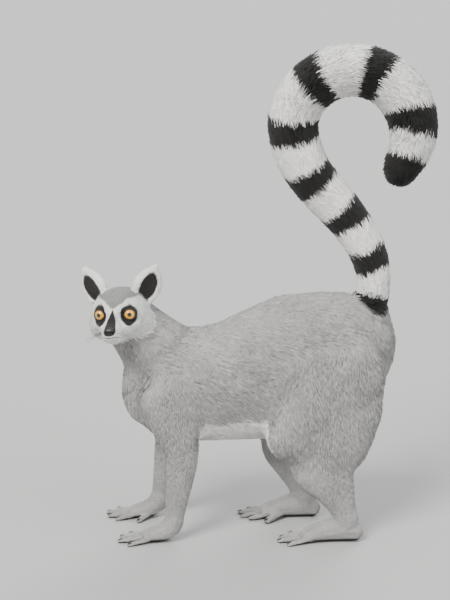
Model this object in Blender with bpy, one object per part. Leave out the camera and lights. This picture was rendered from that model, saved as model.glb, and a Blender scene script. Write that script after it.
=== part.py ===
"""Ring-tailed lemur, life size and still.

It stands on four feet with its body facing -X, its head turned to its left (-Y) and its tail raised in a hook.
Metres, +Z up, the origin on the floor under the middle of its box. The solids reach to the tips of the coat.
Run it with: blender --background --python part.py
"""

import math

import bmesh
import bpy
import numpy as np
from mathutils import Matrix, Vector

# ---------------------------------------------------------------- driving dimensions
GAP = 0.0003  # between neighbouring pieces
RUMP_TOP = 0.311
BELLY_BOTTOM = 0.119
LEG_SPREAD = 0.046  # from the middle plane to a paw's middle
HIP = Vector((0.102, 0.036, 0.223))
SHOULDER = Vector((-0.119, 0.040, 0.188))
FOOT_LENGTH = 0.100
HAND_LENGTH = 0.068
NEAR_HAND_X = -0.108  # where each wrist and ankle stands
FAR_HAND_X = -0.128
NEAR_FOOT_X = 0.103
FAR_FOOT_X = 0.054
WRIST_HEIGHT = 0.034
ANKLE_HEIGHT = 0.038
ANKLE_CUT = Vector((0.15, 0.0, -1.0))
KNEE_CUT = Vector((-0.10, 0.0, -1.0))
BACK_OF_LEG = (  # in front of the ankle, from the middle plane, height, share of the paw's shift, half width and depth
    (-0.003, 0.037, 0.184, 0.15, 0.0215, 0.0500),
    (0.014, 0.045, 0.136, 0.45, 0.0215, 0.0500),
    (0.027, 0.048, 0.100, 0.72, 0.0190, 0.0455),
    (0.012, 0.047, 0.067, 0.95, 0.0160, 0.0275),
)
SOLE_LEVEL = 0.0014  # the height at which the paws are cut flat

HEAD_CENTRE = Vector((-0.174, -0.017, 0.283))
HEAD_TURN = math.radians(79)  # to its left, from straight ahead
HEAD_LIFT = math.radians(3)
HEAD_TILT = math.radians(4)
EYE_RADIUS = 0.0083
EYE_PLACE = Vector((0.0240, 0.0172, 0.0058))  # in the head's own axes: forward, left, up
EYE_GAZE = Vector((0.94, 0.34, 0.04))
EAR_LENGTH = 0.050
EAR_HALF_WIDTH = 0.0185
EAR_HALF_DEPTH = 0.0105
EAR_WALL = 0.0030

TAIL_ROOT = Vector((0.138, 0.0, 0.290))
TAIL_HOOK_CENTRE = Vector((0.109, 0.0, 0.510))
TAIL_HOOK_RADIUS = 0.073
TAIL_ROOT_RADIUS = 0.018
TAIL_HOOK_THICKNESS = 0.033  # the tail's own radius where it is bushiest
TAIL_FREE_FROM = 0.055  # along it from its start inside the rump
TAIL_LENGTHS = 6

COATS = {  # base colour, roughness
    "grey_coat": ((0.38, 0.37, 0.355), 0.9),
    "dark_grey_coat": ((0.22, 0.215, 0.21), 0.9),
    "white_coat": ((0.82, 0.81, 0.78), 0.9),
    "black_coat": ((0.022, 0.021, 0.020), 0.85),
    "bare_skin": ((0.018, 0.017, 0.017), 0.45),
    "amber_eye": ((0.80, 0.36, 0.04), 0.08),
}


# ---------------------------------------------------------------- tools
def material(name):
    """The finish of that name, made on first use."""
    found = bpy.data.materials.get(name)
    if found:
        return found
    colour, roughness = COATS[name]
    made = bpy.data.materials.new(name)
    made.use_nodes = True
    shader = made.node_tree.nodes["Principled BSDF"]
    shader.inputs["Base Color"].default_value = (*colour, 1.0)
    shader.inputs["Roughness"].default_value = roughness
    shader.inputs["Metallic"].default_value = 0.0
    return made


def new_object(name, mesh):
    made = bpy.data.objects.new(name, mesh)
    bpy.context.scene.collection.objects.link(made)
    return made


def discard(*objects):
    for one in objects:
        bpy.data.objects.remove(one)


def finish(part, coat):
    """Gives a finished node its material and smooth shading."""
    part.data.materials.clear()
    part.data.materials.append(material(coat))
    part.data.shade_smooth()
    return part


def settle(part):
    """Replaces an object's mesh by the one its modifiers make."""
    graph = bpy.context.evaluated_depsgraph_get()
    mesh = bpy.data.meshes.new_from_object(part.evaluated_get(graph))
    part.modifiers.clear()
    part.data = mesh
    return part


def mirrored(point, side):
    """A point of the right side (+Y), or with side -1 its match on the left."""
    return Vector((point[0], point[1] * side, point[2]))


def smooth_rows(rows, steps):
    """Rows of numbers joined by Catmull-Rom curves, with steps rows for each span."""
    rows = np.asarray(rows, float)
    padded = np.vstack([2 * rows[0] - rows[1], rows, 2 * rows[-1] - rows[-2]])
    found = []
    for i in range(len(rows) - 1):
        a, b, c, d = padded[i : i + 4]
        for t in np.arange(steps) / steps:
            bend = 2 * a - 5 * b + 4 * c - d
            found.append(0.5 * (2 * b + (c - a) * t + bend * t**2 + (3 * (b - c) + d - a) * t**3))
    found.append(rows[-1])
    return np.array(found)


def round_off(rows, first):
    """Adds shrinking rows beyond one end of a loft, so that it closes in a dome."""
    end, inner = (rows[0], rows[1]) if first else (rows[-1], rows[-2])
    outward = end[:3] - inner[:3]
    outward /= np.linalg.norm(outward)
    reach = min(end[3], end[4])
    dome = []
    for angle in (0.45, 0.9, 1.3):
        centre = end[:3] + outward * reach * math.sin(angle)
        dome.append([*centre, end[3] * math.cos(angle), end[4] * math.cos(angle)])
    return np.vstack([dome[::-1], rows]) if first else np.vstack([rows, dome])


def loft(name, rows, side=(0.0, 1.0, 0.0), sides=20, steps=4, domes=(True, True), tangents=None):
    """A closed tube through rows of (x, y, z, half width along side, half depth across it)."""
    rows = smooth_rows(rows, steps) if steps > 1 else np.asarray(rows, float)
    rows = round_off(rows, True) if domes[0] else rows
    rows = round_off(rows, False) if domes[1] else rows
    if tangents is None:
        tangents = np.gradient(rows[:, :3], axis=0)
    tangents = np.vstack([tangents, np.repeat(tangents[-1:], len(rows) - len(tangents), axis=0)])
    bm = bmesh.new()
    rings = []
    for row, tangent in zip(rows, tangents):
        along = Vector(tangent).normalized()
        across = Vector(side) - along * along.dot(Vector(side))
        across.normalize()
        depth = along.cross(across)
        centre = Vector(row[:3])
        ring = []
        for k in range(sides):
            angle = 2 * math.pi * k / sides
            offset = across * row[3] * math.cos(angle) + depth * row[4] * math.sin(angle)
            ring.append(bm.verts.new(centre + offset))
        rings.append(ring)
    for lower, upper in zip(rings, rings[1:]):
        for k in range(sides):
            after = (k + 1) % sides
            bm.faces.new((lower[k], lower[after], upper[after], upper[k]))
    bm.faces.new(rings[0])
    bm.faces.new(rings[-1])
    bmesh.ops.recalc_face_normals(bm, faces=bm.faces)
    mesh = bpy.data.meshes.new(name)
    bm.to_mesh(mesh)
    bm.free()
    return new_object(name, mesh)


def ellipsoid(name, centre, half_sizes, turn=None, segments=24, rings=16):
    """A closed ellipsoid; turn is a rotation matrix."""
    bm = bmesh.new()
    bmesh.ops.create_uvsphere(bm, u_segments=segments, v_segments=rings, radius=1.0)
    spin = turn.to_4x4() if turn else Matrix.Identity(4)
    place = Matrix.Translation(centre) @ spin @ Matrix.Diagonal((*half_sizes, 1.0))
    bmesh.ops.transform(bm, matrix=place, verts=bm.verts)
    mesh = bpy.data.meshes.new(name)
    bm.to_mesh(mesh)
    bm.free()
    return new_object(name, mesh)


def block(name, low, high):
    """A closed box between two corners, whichever way round each pair of sides is given."""
    low, high = Vector(map(min, low, high)), Vector(map(max, low, high))
    bm = bmesh.new()
    bmesh.ops.create_cube(bm, size=1.0)
    place = Matrix.Translation((low + high) / 2) @ Matrix.Diagonal((*(high - low), 1.0))
    bmesh.ops.transform(bm, matrix=place, verts=bm.verts)
    mesh = bpy.data.meshes.new(name)
    bm.to_mesh(mesh)
    bm.free()
    return new_object(name, mesh)


def join(name, pieces):
    """One object that holds several closed shapes as they are."""
    bm = bmesh.new()
    for piece in pieces:
        bm.from_mesh(piece.data)
    mesh = bpy.data.meshes.new(name)
    bm.to_mesh(mesh)
    bm.free()
    discard(*pieces)
    return new_object(name, mesh)


def triangle_count(mesh):
    return sum(len(face.vertices) - 2 for face in mesh.polygons)


def fuse(name, pieces, voxel, rounds, triangles):
    """Melts overlapping shapes into one closed body, rounds its creases and thins its mesh."""
    body = join(name, pieces)
    remesh = body.modifiers.new("melt", "REMESH")
    remesh.mode = "VOXEL"
    remesh.voxel_size = voxel
    soften = body.modifiers.new("soften", "SMOOTH")
    soften.factor = 0.5
    soften.iterations = rounds
    settle(body)
    thin = body.modifiers.new("thin", "DECIMATE")
    thin.ratio = min(1.0, triangles / triangle_count(body.data))
    return settle(body)


def grown(part, by):
    """A copy of a shape, moved out along its normals by that much."""
    copy = new_object(part.name + "_grown", part.data.copy())
    swell = copy.modifiers.new("swell", "DISPLACE")
    swell.mid_level = 0.0
    swell.strength = by
    return settle(copy)


def boolean(part, other, operation):
    cut = part.modifiers.new(operation.lower(), "BOOLEAN")
    cut.operation = operation
    cut.object = other
    cut.solver = "EXACT"
    return settle(part)


def largest_body(part):
    """Drops the crumbs that a cut can leave beside a piece."""
    bm = bmesh.new()
    bm.from_mesh(part.data)
    unseen, bodies = set(bm.verts), []
    while unseen:
        front, body = [unseen.pop()], []
        while front:
            vert = front.pop()
            body.append(vert)
            for edge in vert.link_edges:
                other = edge.other_vert(vert)
                if other in unseen:
                    unseen.discard(other)
                    front.append(other)
        bodies.append(body)
    bodies.sort(key=len)
    for body in bodies[:-1]:
        bmesh.ops.delete(bm, geom=body, context="VERTS")
    bmesh.ops.triangulate(bm, faces=bm.faces)
    bm.to_mesh(part.data)
    bm.free()
    return part


def part_off(body, cutter, name):
    """Cuts the piece of body that lies inside cutter off it, with a gap between the two."""
    inner, outer = grown(cutter, -GAP / 2), grown(cutter, GAP / 2)
    piece = new_object(name, body.data.copy())
    boolean(piece, inner, "INTERSECT")
    boolean(body, outer, "DIFFERENCE")
    discard(inner, outer)
    largest_body(piece)
    largest_body(body)
    return piece


def carve(part, other, gap=GAP):
    """Takes the room that another piece needs, and the gap round it, out of a part."""
    cutter = grown(other, gap)
    boolean(part, cutter, "DIFFERENCE")
    discard(cutter)
    return largest_body(part)


def halve(part, point, normal, name):
    """Splits part by a plane. The half that the normal points to becomes a new piece."""
    normal = Vector(normal).normalized()
    piece = new_object(name, part.data.copy())
    for half, away in ((part, 1), (piece, -1)):
        bm = bmesh.new()
        bm.from_mesh(half.data)
        everything = [*bm.verts, *bm.edges, *bm.faces]
        where = Vector(point) - normal * away * GAP / 2
        bmesh.ops.bisect_plane(bm, geom=everything, plane_co=where, plane_no=normal * away, clear_outer=True)
        rim = [edge for edge in bm.edges if edge.is_boundary]
        bmesh.ops.holes_fill(bm, edges=rim, sides=0)
        bmesh.ops.triangulate(bm, faces=bm.faces)
        bmesh.ops.recalc_face_normals(bm, faces=bm.faces)
        bm.to_mesh(half.data)
        bm.free()
    largest_body(part)
    return largest_body(piece)


# ---------------------------------------------------------------- the trunk, neck and limbs
def trunk_rows():
    """Cross-sections from the breast to the rump: x, y, z, half width, half depth."""
    tops = (
        (-0.147, RUMP_TOP - 0.080, 0.030, 0.047),
        (-0.130, RUMP_TOP - 0.059, 0.043, 0.067),
        (-0.098, RUMP_TOP - 0.049, 0.053, 0.072),
        (-0.045, RUMP_TOP - 0.041, 0.057, None),
        (0.005, RUMP_TOP - 0.019, 0.058, None),
        (0.050, RUMP_TOP, 0.057, None),
        (0.085, RUMP_TOP, 0.055, 0.083),
        (0.108, RUMP_TOP - 0.007, 0.049, 0.077),
        (0.122, RUMP_TOP - 0.019, 0.041, 0.070),
    )
    rows = []
    for x, top, half_width, half_depth in tops:
        half_depth = half_depth or (top - BELLY_BOTTOM) / 2
        rows.append((x, 0, top - half_depth, half_width, half_depth))
    return rows


def neck_rows():
    """From between the shoulders, up and forward, to inside the back of the skull."""
    return [
        (-0.088, 0, 0.206, 0.044, 0.048),
        (-0.122, 0.001, 0.228, 0.042, 0.046),
        (-0.149, 0.006, 0.253, 0.0385, 0.040),
        (-0.167, 0.011, 0.275, 0.0335, 0.033),
    ]


def hind_leg(side, ankle_x):
    """(thigh and shank masses, knee) of one hind leg."""
    shift = ankle_x - NEAR_FOOT_X
    hip = mirrored(HIP, side) + Vector((shift * 0.1, 0, 0))
    knee = mirrored((0.022, 0.052, 0.119), side) + Vector((shift * 0.62, 0, -shift * 0.06))
    ankle = mirrored((ankle_x, LEG_SPREAD, ANKLE_HEIGHT), side)
    below = ankle + (ankle - knee).normalized() * 0.012
    thigh = loft(
        "thigh_mass",
        [
            (*hip, 0.025, 0.054),
            (*hip.lerp(knee, 0.5), 0.026, 0.047),
            (*knee.lerp(hip, 0.08), 0.0215, 0.030),
        ],
    )
    rows = []
    for ahead, outward, height, follows, half_width, half_depth in BACK_OF_LEG:
        x = ankle.x - ahead - shift * (1 - follows)
        rows.append((x, outward * side, height, half_width, half_depth))
    shank = loft("shank_mass", [*rows, (*ankle, 0.0125, 0.0158), (*below, 0.0120, 0.0145)])
    haunch = ellipsoid("haunch", hip + Vector((0.004, 0, -0.013)), (0.048, 0.026, 0.062))
    return [thigh, shank, haunch], knee


def fore_leg(side, wrist_x):
    """(upper arm and forearm masses, elbow, way down the forearm) of one foreleg."""
    shift = wrist_x - NEAR_HAND_X
    shoulder = mirrored(SHOULDER, side)
    elbow = mirrored((-0.097, 0.046, 0.114), side) + Vector((shift * 0.85, 0, 0))
    wrist = mirrored((wrist_x, LEG_SPREAD, WRIST_HEIGHT), side)
    below = wrist + (wrist - elbow).normalized() * 0.012
    upper = loft(
        "upper_arm_mass",
        [
            (*shoulder, 0.020, 0.036),
            (*shoulder.lerp(elbow, 0.5), 0.0190, 0.0315),
            (*elbow.lerp(shoulder, 0.05), 0.0170, 0.0235),
        ],
    )
    middle = elbow.lerp(wrist, 0.5)
    lower = loft(
        "forearm_mass",
        [(*elbow, 0.0165, 0.0225), (*middle, 0.0145, 0.0180), (*wrist, 0.0118, 0.0132), (*below, 0.0115, 0.0125)],
    )
    return [upper, lower], elbow, (wrist - elbow).normalized()


# ---------------------------------------------------------------- the paws
def digit(root, heading, length, radius):
    """A finger or toe: it arches from the palm and comes down on its pad."""
    along = Vector((math.cos(heading), math.sin(heading), 0))
    heights = ((-0.30, 1.55, 1.05), (0.0, 1.75, 1.0), (0.38, 1.50, 1.0), (0.72, 1.05, 1.0), (1.0, 0.92, 0.95))
    rows = []
    for share, height, thickness in heights:
        centre = Vector(root) + along * length * share
        rows.append((centre.x, centre.y, radius * height, radius * thickness, radius * thickness))
    return loft("digit", rows, side=(-along.y, along.x, 0), sides=10, steps=2)


def digits(side, knuckles_x, table):
    """The five digits of one paw. Each is (degrees inward, length, radius, back from the knuckles, outward)."""
    shapes = []
    for inward, length, radius, back, outward in table:
        heading = math.pi + math.radians(inward) * side
        root = Vector((knuckles_x + back, (LEG_SPREAD + outward) * side, 0))
        shapes.append(digit(root, heading, length, radius))
    return shapes


def sole(part):
    """Cuts a paw's underside flat, so that all four rest at one level."""
    floor = block("floor_cut", (-1, -1, -0.05), (1, 1, SOLE_LEVEL))
    boolean(part, floor, "DIFFERENCE")
    discard(floor)
    return largest_body(part)


def hand(name, side, wrist_x):
    y = LEG_SPREAD * side
    knuckles_x = wrist_x - 0.034
    longest = HAND_LENGTH - 0.034
    palm = loft(
        "palm",
        [
            (wrist_x - 0.0045, y, 0.048, 0.0112, 0.0115),
            (wrist_x, y, WRIST_HEIGHT, 0.0112, 0.0120),
            (wrist_x - 0.005, y, 0.020, 0.0122, 0.0128),
            (wrist_x - 0.017, y, 0.0118, 0.0142, 0.0112),
            (knuckles_x, y, 0.0080, 0.0148, 0.0080),
        ],
    )
    table = [
        (52, longest * 0.62, 0.0037, 0.018, -0.010),
        (20, longest * 0.76, 0.0036, 0.002, -0.0095),
        (6, longest * 0.92, 0.0037, -0.001, -0.0030),
        (-8, longest, 0.0037, -0.001, 0.0040),
        (-25, longest * 0.82, 0.0035, 0.003, 0.0105),
    ]
    return sole(fuse(name, [palm, *digits(side, knuckles_x, table)], 0.0011, 3, 315))


def foot(name, side, ankle_x):
    y = LEG_SPREAD * side
    ball_x = ankle_x - 0.046
    longest = FOOT_LENGTH - 0.066
    arch = loft(
        "arch",
        [
            (ankle_x + 0.013, y, 0.0125, 0.0105, 0.0120),
            (ankle_x - 0.002, y, 0.0165, 0.0120, 0.0155),
            (ankle_x - 0.022, y, 0.0150, 0.0135, 0.0140),
            (ball_x, y, 0.0090, 0.0158, 0.0092),
        ],
    )
    instep = loft(
        "instep",
        [
            (ankle_x - 0.0125, y, ANKLE_HEIGHT + 0.0185, 0.0128, 0.0165),
            (ankle_x, y, ANKLE_HEIGHT, 0.0126, 0.0162),
            (ankle_x + 0.002, y, 0.020, 0.0122, 0.0150),
        ],
    )
    table = [
        (46, longest * 0.86, 0.0048, 0.020, -0.008),
        (16, longest * 0.72, 0.0037, 0.002, -0.0100),
        (5, longest * 0.90, 0.0038, -0.001, -0.0030),
        (-6, longest, 0.0039, -0.001, 0.0045),
        (-20, longest * 0.84, 0.0037, 0.003, 0.0115),
    ]
    return sole(fuse(name, [arch, instep, *digits(side, ball_x, table)], 0.0011, 3, 315))


# ---------------------------------------------------------------- the head
def head_matrix():
    """From the head's own axes (forward, left, up) to the model's."""
    turn = Matrix.Rotation(math.pi + HEAD_TURN, 4, "Z")
    lift = Matrix.Rotation(-HEAD_LIFT, 4, "Y")
    tilt = Matrix.Rotation(HEAD_TILT, 4, "X")
    return Matrix.Translation(HEAD_CENTRE) @ turn @ lift @ tilt


def place_on_head(part):
    part.data.transform(head_matrix())
    return part


def skull_rows():
    """Cross-sections from the back of the head to the tip of the muzzle."""
    return [
        (-0.031, 0, 0.002, 0.0165, 0.0165),
        (-0.025, 0, 0.003, 0.0280, 0.0265),
        (-0.011, 0, 0.002, 0.0360, 0.0335),
        (0.005, 0, 0.000, 0.0362, 0.0325),
        (0.019, 0, -0.003, 0.0305, 0.0275),
        (0.030, 0, -0.0080, 0.0215, 0.0205),
        (0.041, 0, -0.0120, 0.0148, 0.0152),
        (0.050, 0, -0.0135, 0.0112, 0.0118),
        (0.054, 0, -0.0138, 0.0095, 0.0100),
    ]


def skull():
    shapes = [loft("skull", skull_rows(), sides=28, steps=3)]
    for side in (1, -1):
        cheek_turn = Matrix.Rotation(math.radians(18) * side, 3, "X")
        shapes.append(ellipsoid("ruff", Vector((-0.004, 0.020 * side, -0.010)), (0.023, 0.0225, 0.0225), cheek_turn))
        shapes.append(ellipsoid("brow", Vector((0.0165, 0.0165 * side, 0.0125)), (0.0095, 0.0120, 0.0080)))
        shapes.append(ellipsoid("cheekbone", Vector((0.0165, 0.0215 * side, -0.0060)), (0.0120, 0.0110, 0.0100)))
        shapes.append(ellipsoid("lip", Vector((0.0430, 0.0060 * side, -0.0175)), (0.0140, 0.0075, 0.0082)))
    shapes.append(ellipsoid("chin", Vector((0.0350, 0, -0.0215)), (0.0180, 0.0095, 0.0075)))
    return place_on_head(fuse("head", shapes, 0.0014, 12, 940))


def eye(name, side):
    ball = ellipsoid(name, mirrored(EYE_PLACE, side), (EYE_RADIUS,) * 3, None, 12, 9)
    return place_on_head(ball)


def lids_room(side):
    """What the lids leave open in front of an eye: a short cone along its gaze."""
    centre, gaze = mirrored(EYE_PLACE, side), mirrored(EYE_GAZE, side).normalized()
    near, far = centre + gaze * 0.002, centre + gaze * 0.020
    cone = loft("cone", [(*near, 0.0070, 0.0066), (*far, 0.0150, 0.0145)], sides=14, steps=1, domes=(False, False))
    return place_on_head(cone)


def nose():
    pad = ellipsoid("nose", Vector((0.0585, 0, -0.0095)), (0.0048, 0.0070, 0.0055), None, 12, 7)
    return place_on_head(pad)


def ear_rows(root, upward, wall):
    """Cross-sections of a leaf that tapers to a rounded point, less a wall on every side."""
    rows = []
    for share in (0.0, 0.2, 0.4, 0.6, 0.8, 0.93):
        if share < 0.4:
            width = 0.64 + 0.36 * math.sin(0.5 * math.pi * share / 0.4)
        else:
            width = math.cos(0.5 * math.pi * ((share - 0.4) / 0.6) ** 1.25)
        half_width = EAR_HALF_WIDTH * width - wall
        half_depth = max(EAR_HALF_DEPTH * (1 - 0.62 * share) - wall * 0.5, 0.002)
        rows.append((*(root + upward * EAR_LENGTH * share), max(half_width, 0.0015), half_depth))
    return rows


def ear(name, side):
    """A cupped leaf that stands on the side of the crown and opens forward and outward."""
    root = mirrored((-0.009, 0.0240, 0.0150), side)
    upward = mirrored((-0.08, 0.44, 0.89), side).normalized()
    facing = mirrored((0.88, 0.47, 0.0), side)
    facing = (facing - upward * facing.dot(upward)).normalized()
    across = upward.cross(facing)
    leaf = loft("leaf", ear_rows(root, upward, 0), across, 20, 3)
    hollow_root = root + facing * EAR_HALF_DEPTH * 0.95
    hollow = loft("hollow", ear_rows(hollow_root, upward, EAR_WALL), across, 20, 3)
    boolean(leaf, hollow, "DIFFERENCE")
    discard(hollow)
    return place_on_head(fuse(name, [leaf], 0.0009, 5, 230))


# ---------------------------------------------------------------- the tail
def tail_rows():
    """The tail's middle line and radius, from inside the rump to the tip."""
    hook = TAIL_HOOK_CENTRE
    line = [
        (TAIL_ROOT.x + 0.002, 0, TAIL_ROOT.z - 0.020),
        (TAIL_ROOT.x, 0, TAIL_ROOT.z + 0.015),
        (TAIL_ROOT.x - 0.001, 0.002, TAIL_ROOT.z + 0.045),
        (TAIL_ROOT.x - 0.012, 0.005, TAIL_ROOT.z + 0.077),
        (TAIL_ROOT.x - 0.033, 0.008, TAIL_ROOT.z + 0.109),
        (TAIL_ROOT.x - 0.062, 0.010, TAIL_ROOT.z + 0.142),
        (TAIL_ROOT.x - 0.088, 0.010, TAIL_ROOT.z + 0.176),
    ]
    first, last, count = 178, -38, 10
    for i in range(count):
        share = i / (count - 1)
        angle = math.radians(first + (last - first) * share)
        across = 0.010 - 0.026 * share
        line.append(
            (hook.x + TAIL_HOOK_RADIUS * math.cos(angle), across, hook.z + TAIL_HOOK_RADIUS * math.sin(angle))
        )
    rows = smooth_rows(line, 8)
    steps = np.linalg.norm(np.diff(rows, axis=0), axis=1)
    share = np.concatenate([[0], np.cumsum(steps)]) / steps.sum()
    radius = TAIL_ROOT_RADIUS + (TAIL_HOOK_THICKNESS - TAIL_ROOT_RADIUS) * np.sin(
        0.5 * math.pi * np.clip(share / 0.62, 0, 1)
    )
    radius *= np.clip(1.02 - 0.30 * np.clip((share - 0.80) / 0.20, 0, 1) ** 2, 0, 1)
    return np.column_stack([rows, radius, radius])


def along_tail(rows, at):
    """The tail's rows, and its directions, at these distances from its start."""
    steps = np.linalg.norm(np.diff(rows[:, :3], axis=0), axis=1)
    along = np.concatenate([[0], np.cumsum(steps)])
    ways = np.gradient(rows[:, :3], axis=0)
    picked = np.column_stack([np.interp(at, along, rows[:, k]) for k in range(5)])
    return picked, np.column_stack([np.interp(at, along, ways[:, k]) for k in range(3)])


def tail_piece(name, rows, low, high, tip):
    """One length of the tail, closed by flat ends, or by a dome at the tip."""
    picked, ways = along_tail(rows, np.linspace(low + GAP / 2, high - GAP / 2, 6))
    return loft(name, picked, sides=14, steps=1, domes=(False, tip), tangents=ways)


# ---------------------------------------------------------------- assembly
def limb_cutter(centre, half_sizes, low, high):
    """The room of one leg: an ellipsoid at its root and a box round the rest."""
    room = ellipsoid("room", centre, half_sizes, None, 16, 10)
    box = block("box", low, high)
    boolean(room, box, "UNION")
    discard(box)
    return room


def centre_on_floor():
    """Moves everything so that the origin is on the floor, under the middle of the model's box."""
    parts = [one for one in bpy.data.objects if one.type == "MESH"]
    places = np.array([vert.co for one in parts for vert in one.data.vertices])
    low, high = places.min(axis=0), places.max(axis=0)
    shift = Matrix.Translation((-(low[0] + high[0]) / 2, -(low[1] + high[1]) / 2, -low[2]))
    for one in parts:
        one.data.transform(shift)


def main():
    for one in list(bpy.data.objects):
        bpy.data.objects.remove(one)

    hand_x = {-1: NEAR_HAND_X, 1: FAR_HAND_X}
    foot_x = {-1: NEAR_FOOT_X, 1: FAR_FOOT_X}
    side_name = {-1: "left", 1: "right"}

    # One fused body of trunk, neck, tail root and legs.
    tail = tail_rows()
    root = tail[: len(tail) // 6]
    masses = [
        loft("trunk_mass", trunk_rows(), sides=28),
        loft("neck_mass", neck_rows(), sides=24),
        loft("tail_root_mass", root, steps=1),
    ]
    joints = {}
    for side in (-1, 1):
        arm, elbow, down_arm = fore_leg(side, hand_x[side])
        leg, knee = hind_leg(side, foot_x[side])
        masses += [*arm, *leg]
        joints[side] = (elbow, down_arm, knee)
    trunk = fuse("trunk", masses, 0.004, 14, 1900)

    # The legs come off first, then each is parted at its joints.
    head = skull()
    for side in (-1, 1):
        word = side_name[side]
        elbow, down_arm, knee = joints[side]
        room = limb_cutter(
            (0.086 + (foot_x[side] - NEAR_FOOT_X) * 0.3, 0.080 * side, 0.160),
            (0.090, 0.056, 0.110),
            (-0.060, 0.004 * side, -0.02),
            (0.170, 0.15 * side, 0.106),
        )
        thigh = part_off(trunk, room, "thigh_" + word)
        discard(room)
        room = limb_cutter(
            (-0.115, 0.078 * side, 0.150),
            (0.050, 0.052, 0.088),
            (-0.195, 0.004 * side, -0.02),
            (-0.062, 0.15 * side, 0.108),
        )
        arm = part_off(trunk, room, "upper_arm_" + word)
        discard(room)

        shank = halve(thigh, knee + Vector((0, 0, -0.014)), KNEE_CUT, "shank_" + word)
        ankle = Vector((foot_x[side], LEG_SPREAD * side, ANKLE_HEIGHT))
        discard(halve(shank, ankle, ANKLE_CUT, "spare"))
        forearm = halve(arm, elbow, down_arm, "forearm_" + word)
        wrist = Vector((hand_x[side], LEG_SPREAD * side, WRIST_HEIGHT))
        discard(halve(forearm, wrist, down_arm, "spare"))

        paw = foot("foot_" + word, side, foot_x[side])
        discard(halve(paw, ankle, -ANKLE_CUT, "spare"))
        palm = hand("hand_" + word, side, hand_x[side])
        discard(halve(palm, wrist, -down_arm, "spare"))
        for leg_part in (thigh, shank, arm, forearm, paw, palm):
            finish(leg_part, "grey_coat")

    # The neck, the tail in its lengths, and the head with what sits in it.
    neck = halve(trunk, (-0.133, 0, 0.231), (-0.72, 0, 0.70), "neck")
    carve(neck, head, 2 * GAP)
    length = np.linalg.norm(np.diff(tail[:, :3], axis=0), axis=1).sum()
    ends = np.linspace(TAIL_FREE_FROM, length, TAIL_LENGTHS + 1)
    cut, way = along_tail(tail, [TAIL_FREE_FROM])
    discard(halve(trunk, cut[0, :3], way[0], "spare"))
    for i in range(TAIL_LENGTHS):
        piece = tail_piece(f"tail_{i + 1}", tail, ends[i], ends[i + 1], i == TAIL_LENGTHS - 1)
        finish(piece, "white_coat" if i % 2 else "black_coat")

    pad = nose()
    carve(head, pad)
    for side in (-1, 1):
        word = side_name[-side]
        ball = eye("eye_" + word, side)
        carve(head, ball)
        room = lids_room(side)
        carve(head, room)
        discard(room)
        leaf = ear("ear_" + word, side)
        carve(leaf, head, 2 * GAP)
        finish(ball, "amber_eye")
        finish(leaf, "white_coat")
    finish(pad, "bare_skin")
    finish(head, "white_coat")
    finish(neck, "dark_grey_coat")
    finish(trunk, "grey_coat")
    centre_on_floor()


main()
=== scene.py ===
import math

import bmesh
import bpy
import numpy as np
from bpy.props import FloatProperty, FloatVectorProperty, PointerProperty
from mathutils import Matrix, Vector
from mathutils.bvhtree import BVHTree
from mathutils.kdtree import KDTree


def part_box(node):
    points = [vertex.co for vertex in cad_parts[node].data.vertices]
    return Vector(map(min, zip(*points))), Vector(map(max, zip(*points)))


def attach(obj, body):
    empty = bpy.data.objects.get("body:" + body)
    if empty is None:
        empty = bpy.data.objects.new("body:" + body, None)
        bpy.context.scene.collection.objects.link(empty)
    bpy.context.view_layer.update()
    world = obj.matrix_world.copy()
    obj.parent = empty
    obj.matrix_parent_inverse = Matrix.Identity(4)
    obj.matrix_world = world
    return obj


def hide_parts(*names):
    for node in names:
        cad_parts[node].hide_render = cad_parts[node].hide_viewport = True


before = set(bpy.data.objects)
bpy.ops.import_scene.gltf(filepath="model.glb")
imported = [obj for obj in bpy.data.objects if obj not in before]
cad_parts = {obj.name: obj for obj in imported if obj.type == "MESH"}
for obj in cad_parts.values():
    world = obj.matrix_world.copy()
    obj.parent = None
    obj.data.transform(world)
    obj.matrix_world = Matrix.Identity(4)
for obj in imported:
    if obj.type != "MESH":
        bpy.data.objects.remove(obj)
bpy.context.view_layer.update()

bl_info = {
    "name": "Ring-tailed Lemur Model",
    "version": (1, 0, 0),
    "blender": (4, 5, 0),
    "location": "3D View > Sidebar > Lemur",
    "description": "Builds the skin, coat, eyes, nose and nails of a still life-size ring-tailed lemur",
    "category": "Object",
}

MM = 0.001
BODY = "root"
SIDES = ("left", "right")
SIGNS = {"left": 1, "right": -1}  # along the head's own left
TAIL_NODES = tuple(f"tail_{i}" for i in range(1, 7))
LIMB_NODES = ("upper_arm", "forearm", "hand", "thigh", "shank", "foot")
FLESH = ("head", "neck", "trunk", *TAIL_NODES) + tuple(
    f"{part}_{side}" for part in ("ear", *LIMB_NODES) for side in SIDES
)

# Places and ways on the head, in its own axes: forward, left and up. Places are in millimetres.
EYE_PLACE = np.array([24.0, 17.2, 5.8])  # the left one
LIDS_FACE = np.array([0.94, 0.34, 0.04])  # the way the left eye's lids open
EYE_LOOKS = np.array([0.965, 0.26, 0.02])  # the way the left eyeball looks, a little further ahead
FACE_MIDDLE = np.array([32.0, 0.0, -4.0])
NOSE_MIDDLE = np.array([58.2, 0.0, -9.5])
NOSE_SIZE = np.array([4.9, 6.6, 5.2])
EAR_FACES = np.array([0.88, 0.47, 0.0])
EAR_RISES = np.array([-0.08, 0.44, 0.89])

LID_DEPTH = 0.75 * MM  # how far the skin of the lids lies over the eyeball
LIP_SINK = 0.7 * MM
SKIN_TRIANGLES = 186000
WORK = {}  # what the skin hands on to the pieces that stand on it: its points, normals, lie and coat


# ---------------------------------------------------------------- small helpers
def unit(rows):
    return rows / np.maximum(np.linalg.norm(rows, axis=-1, keepdims=True), 1e-12)


def dot(a, b):
    return (a * b).sum(-1)


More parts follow.
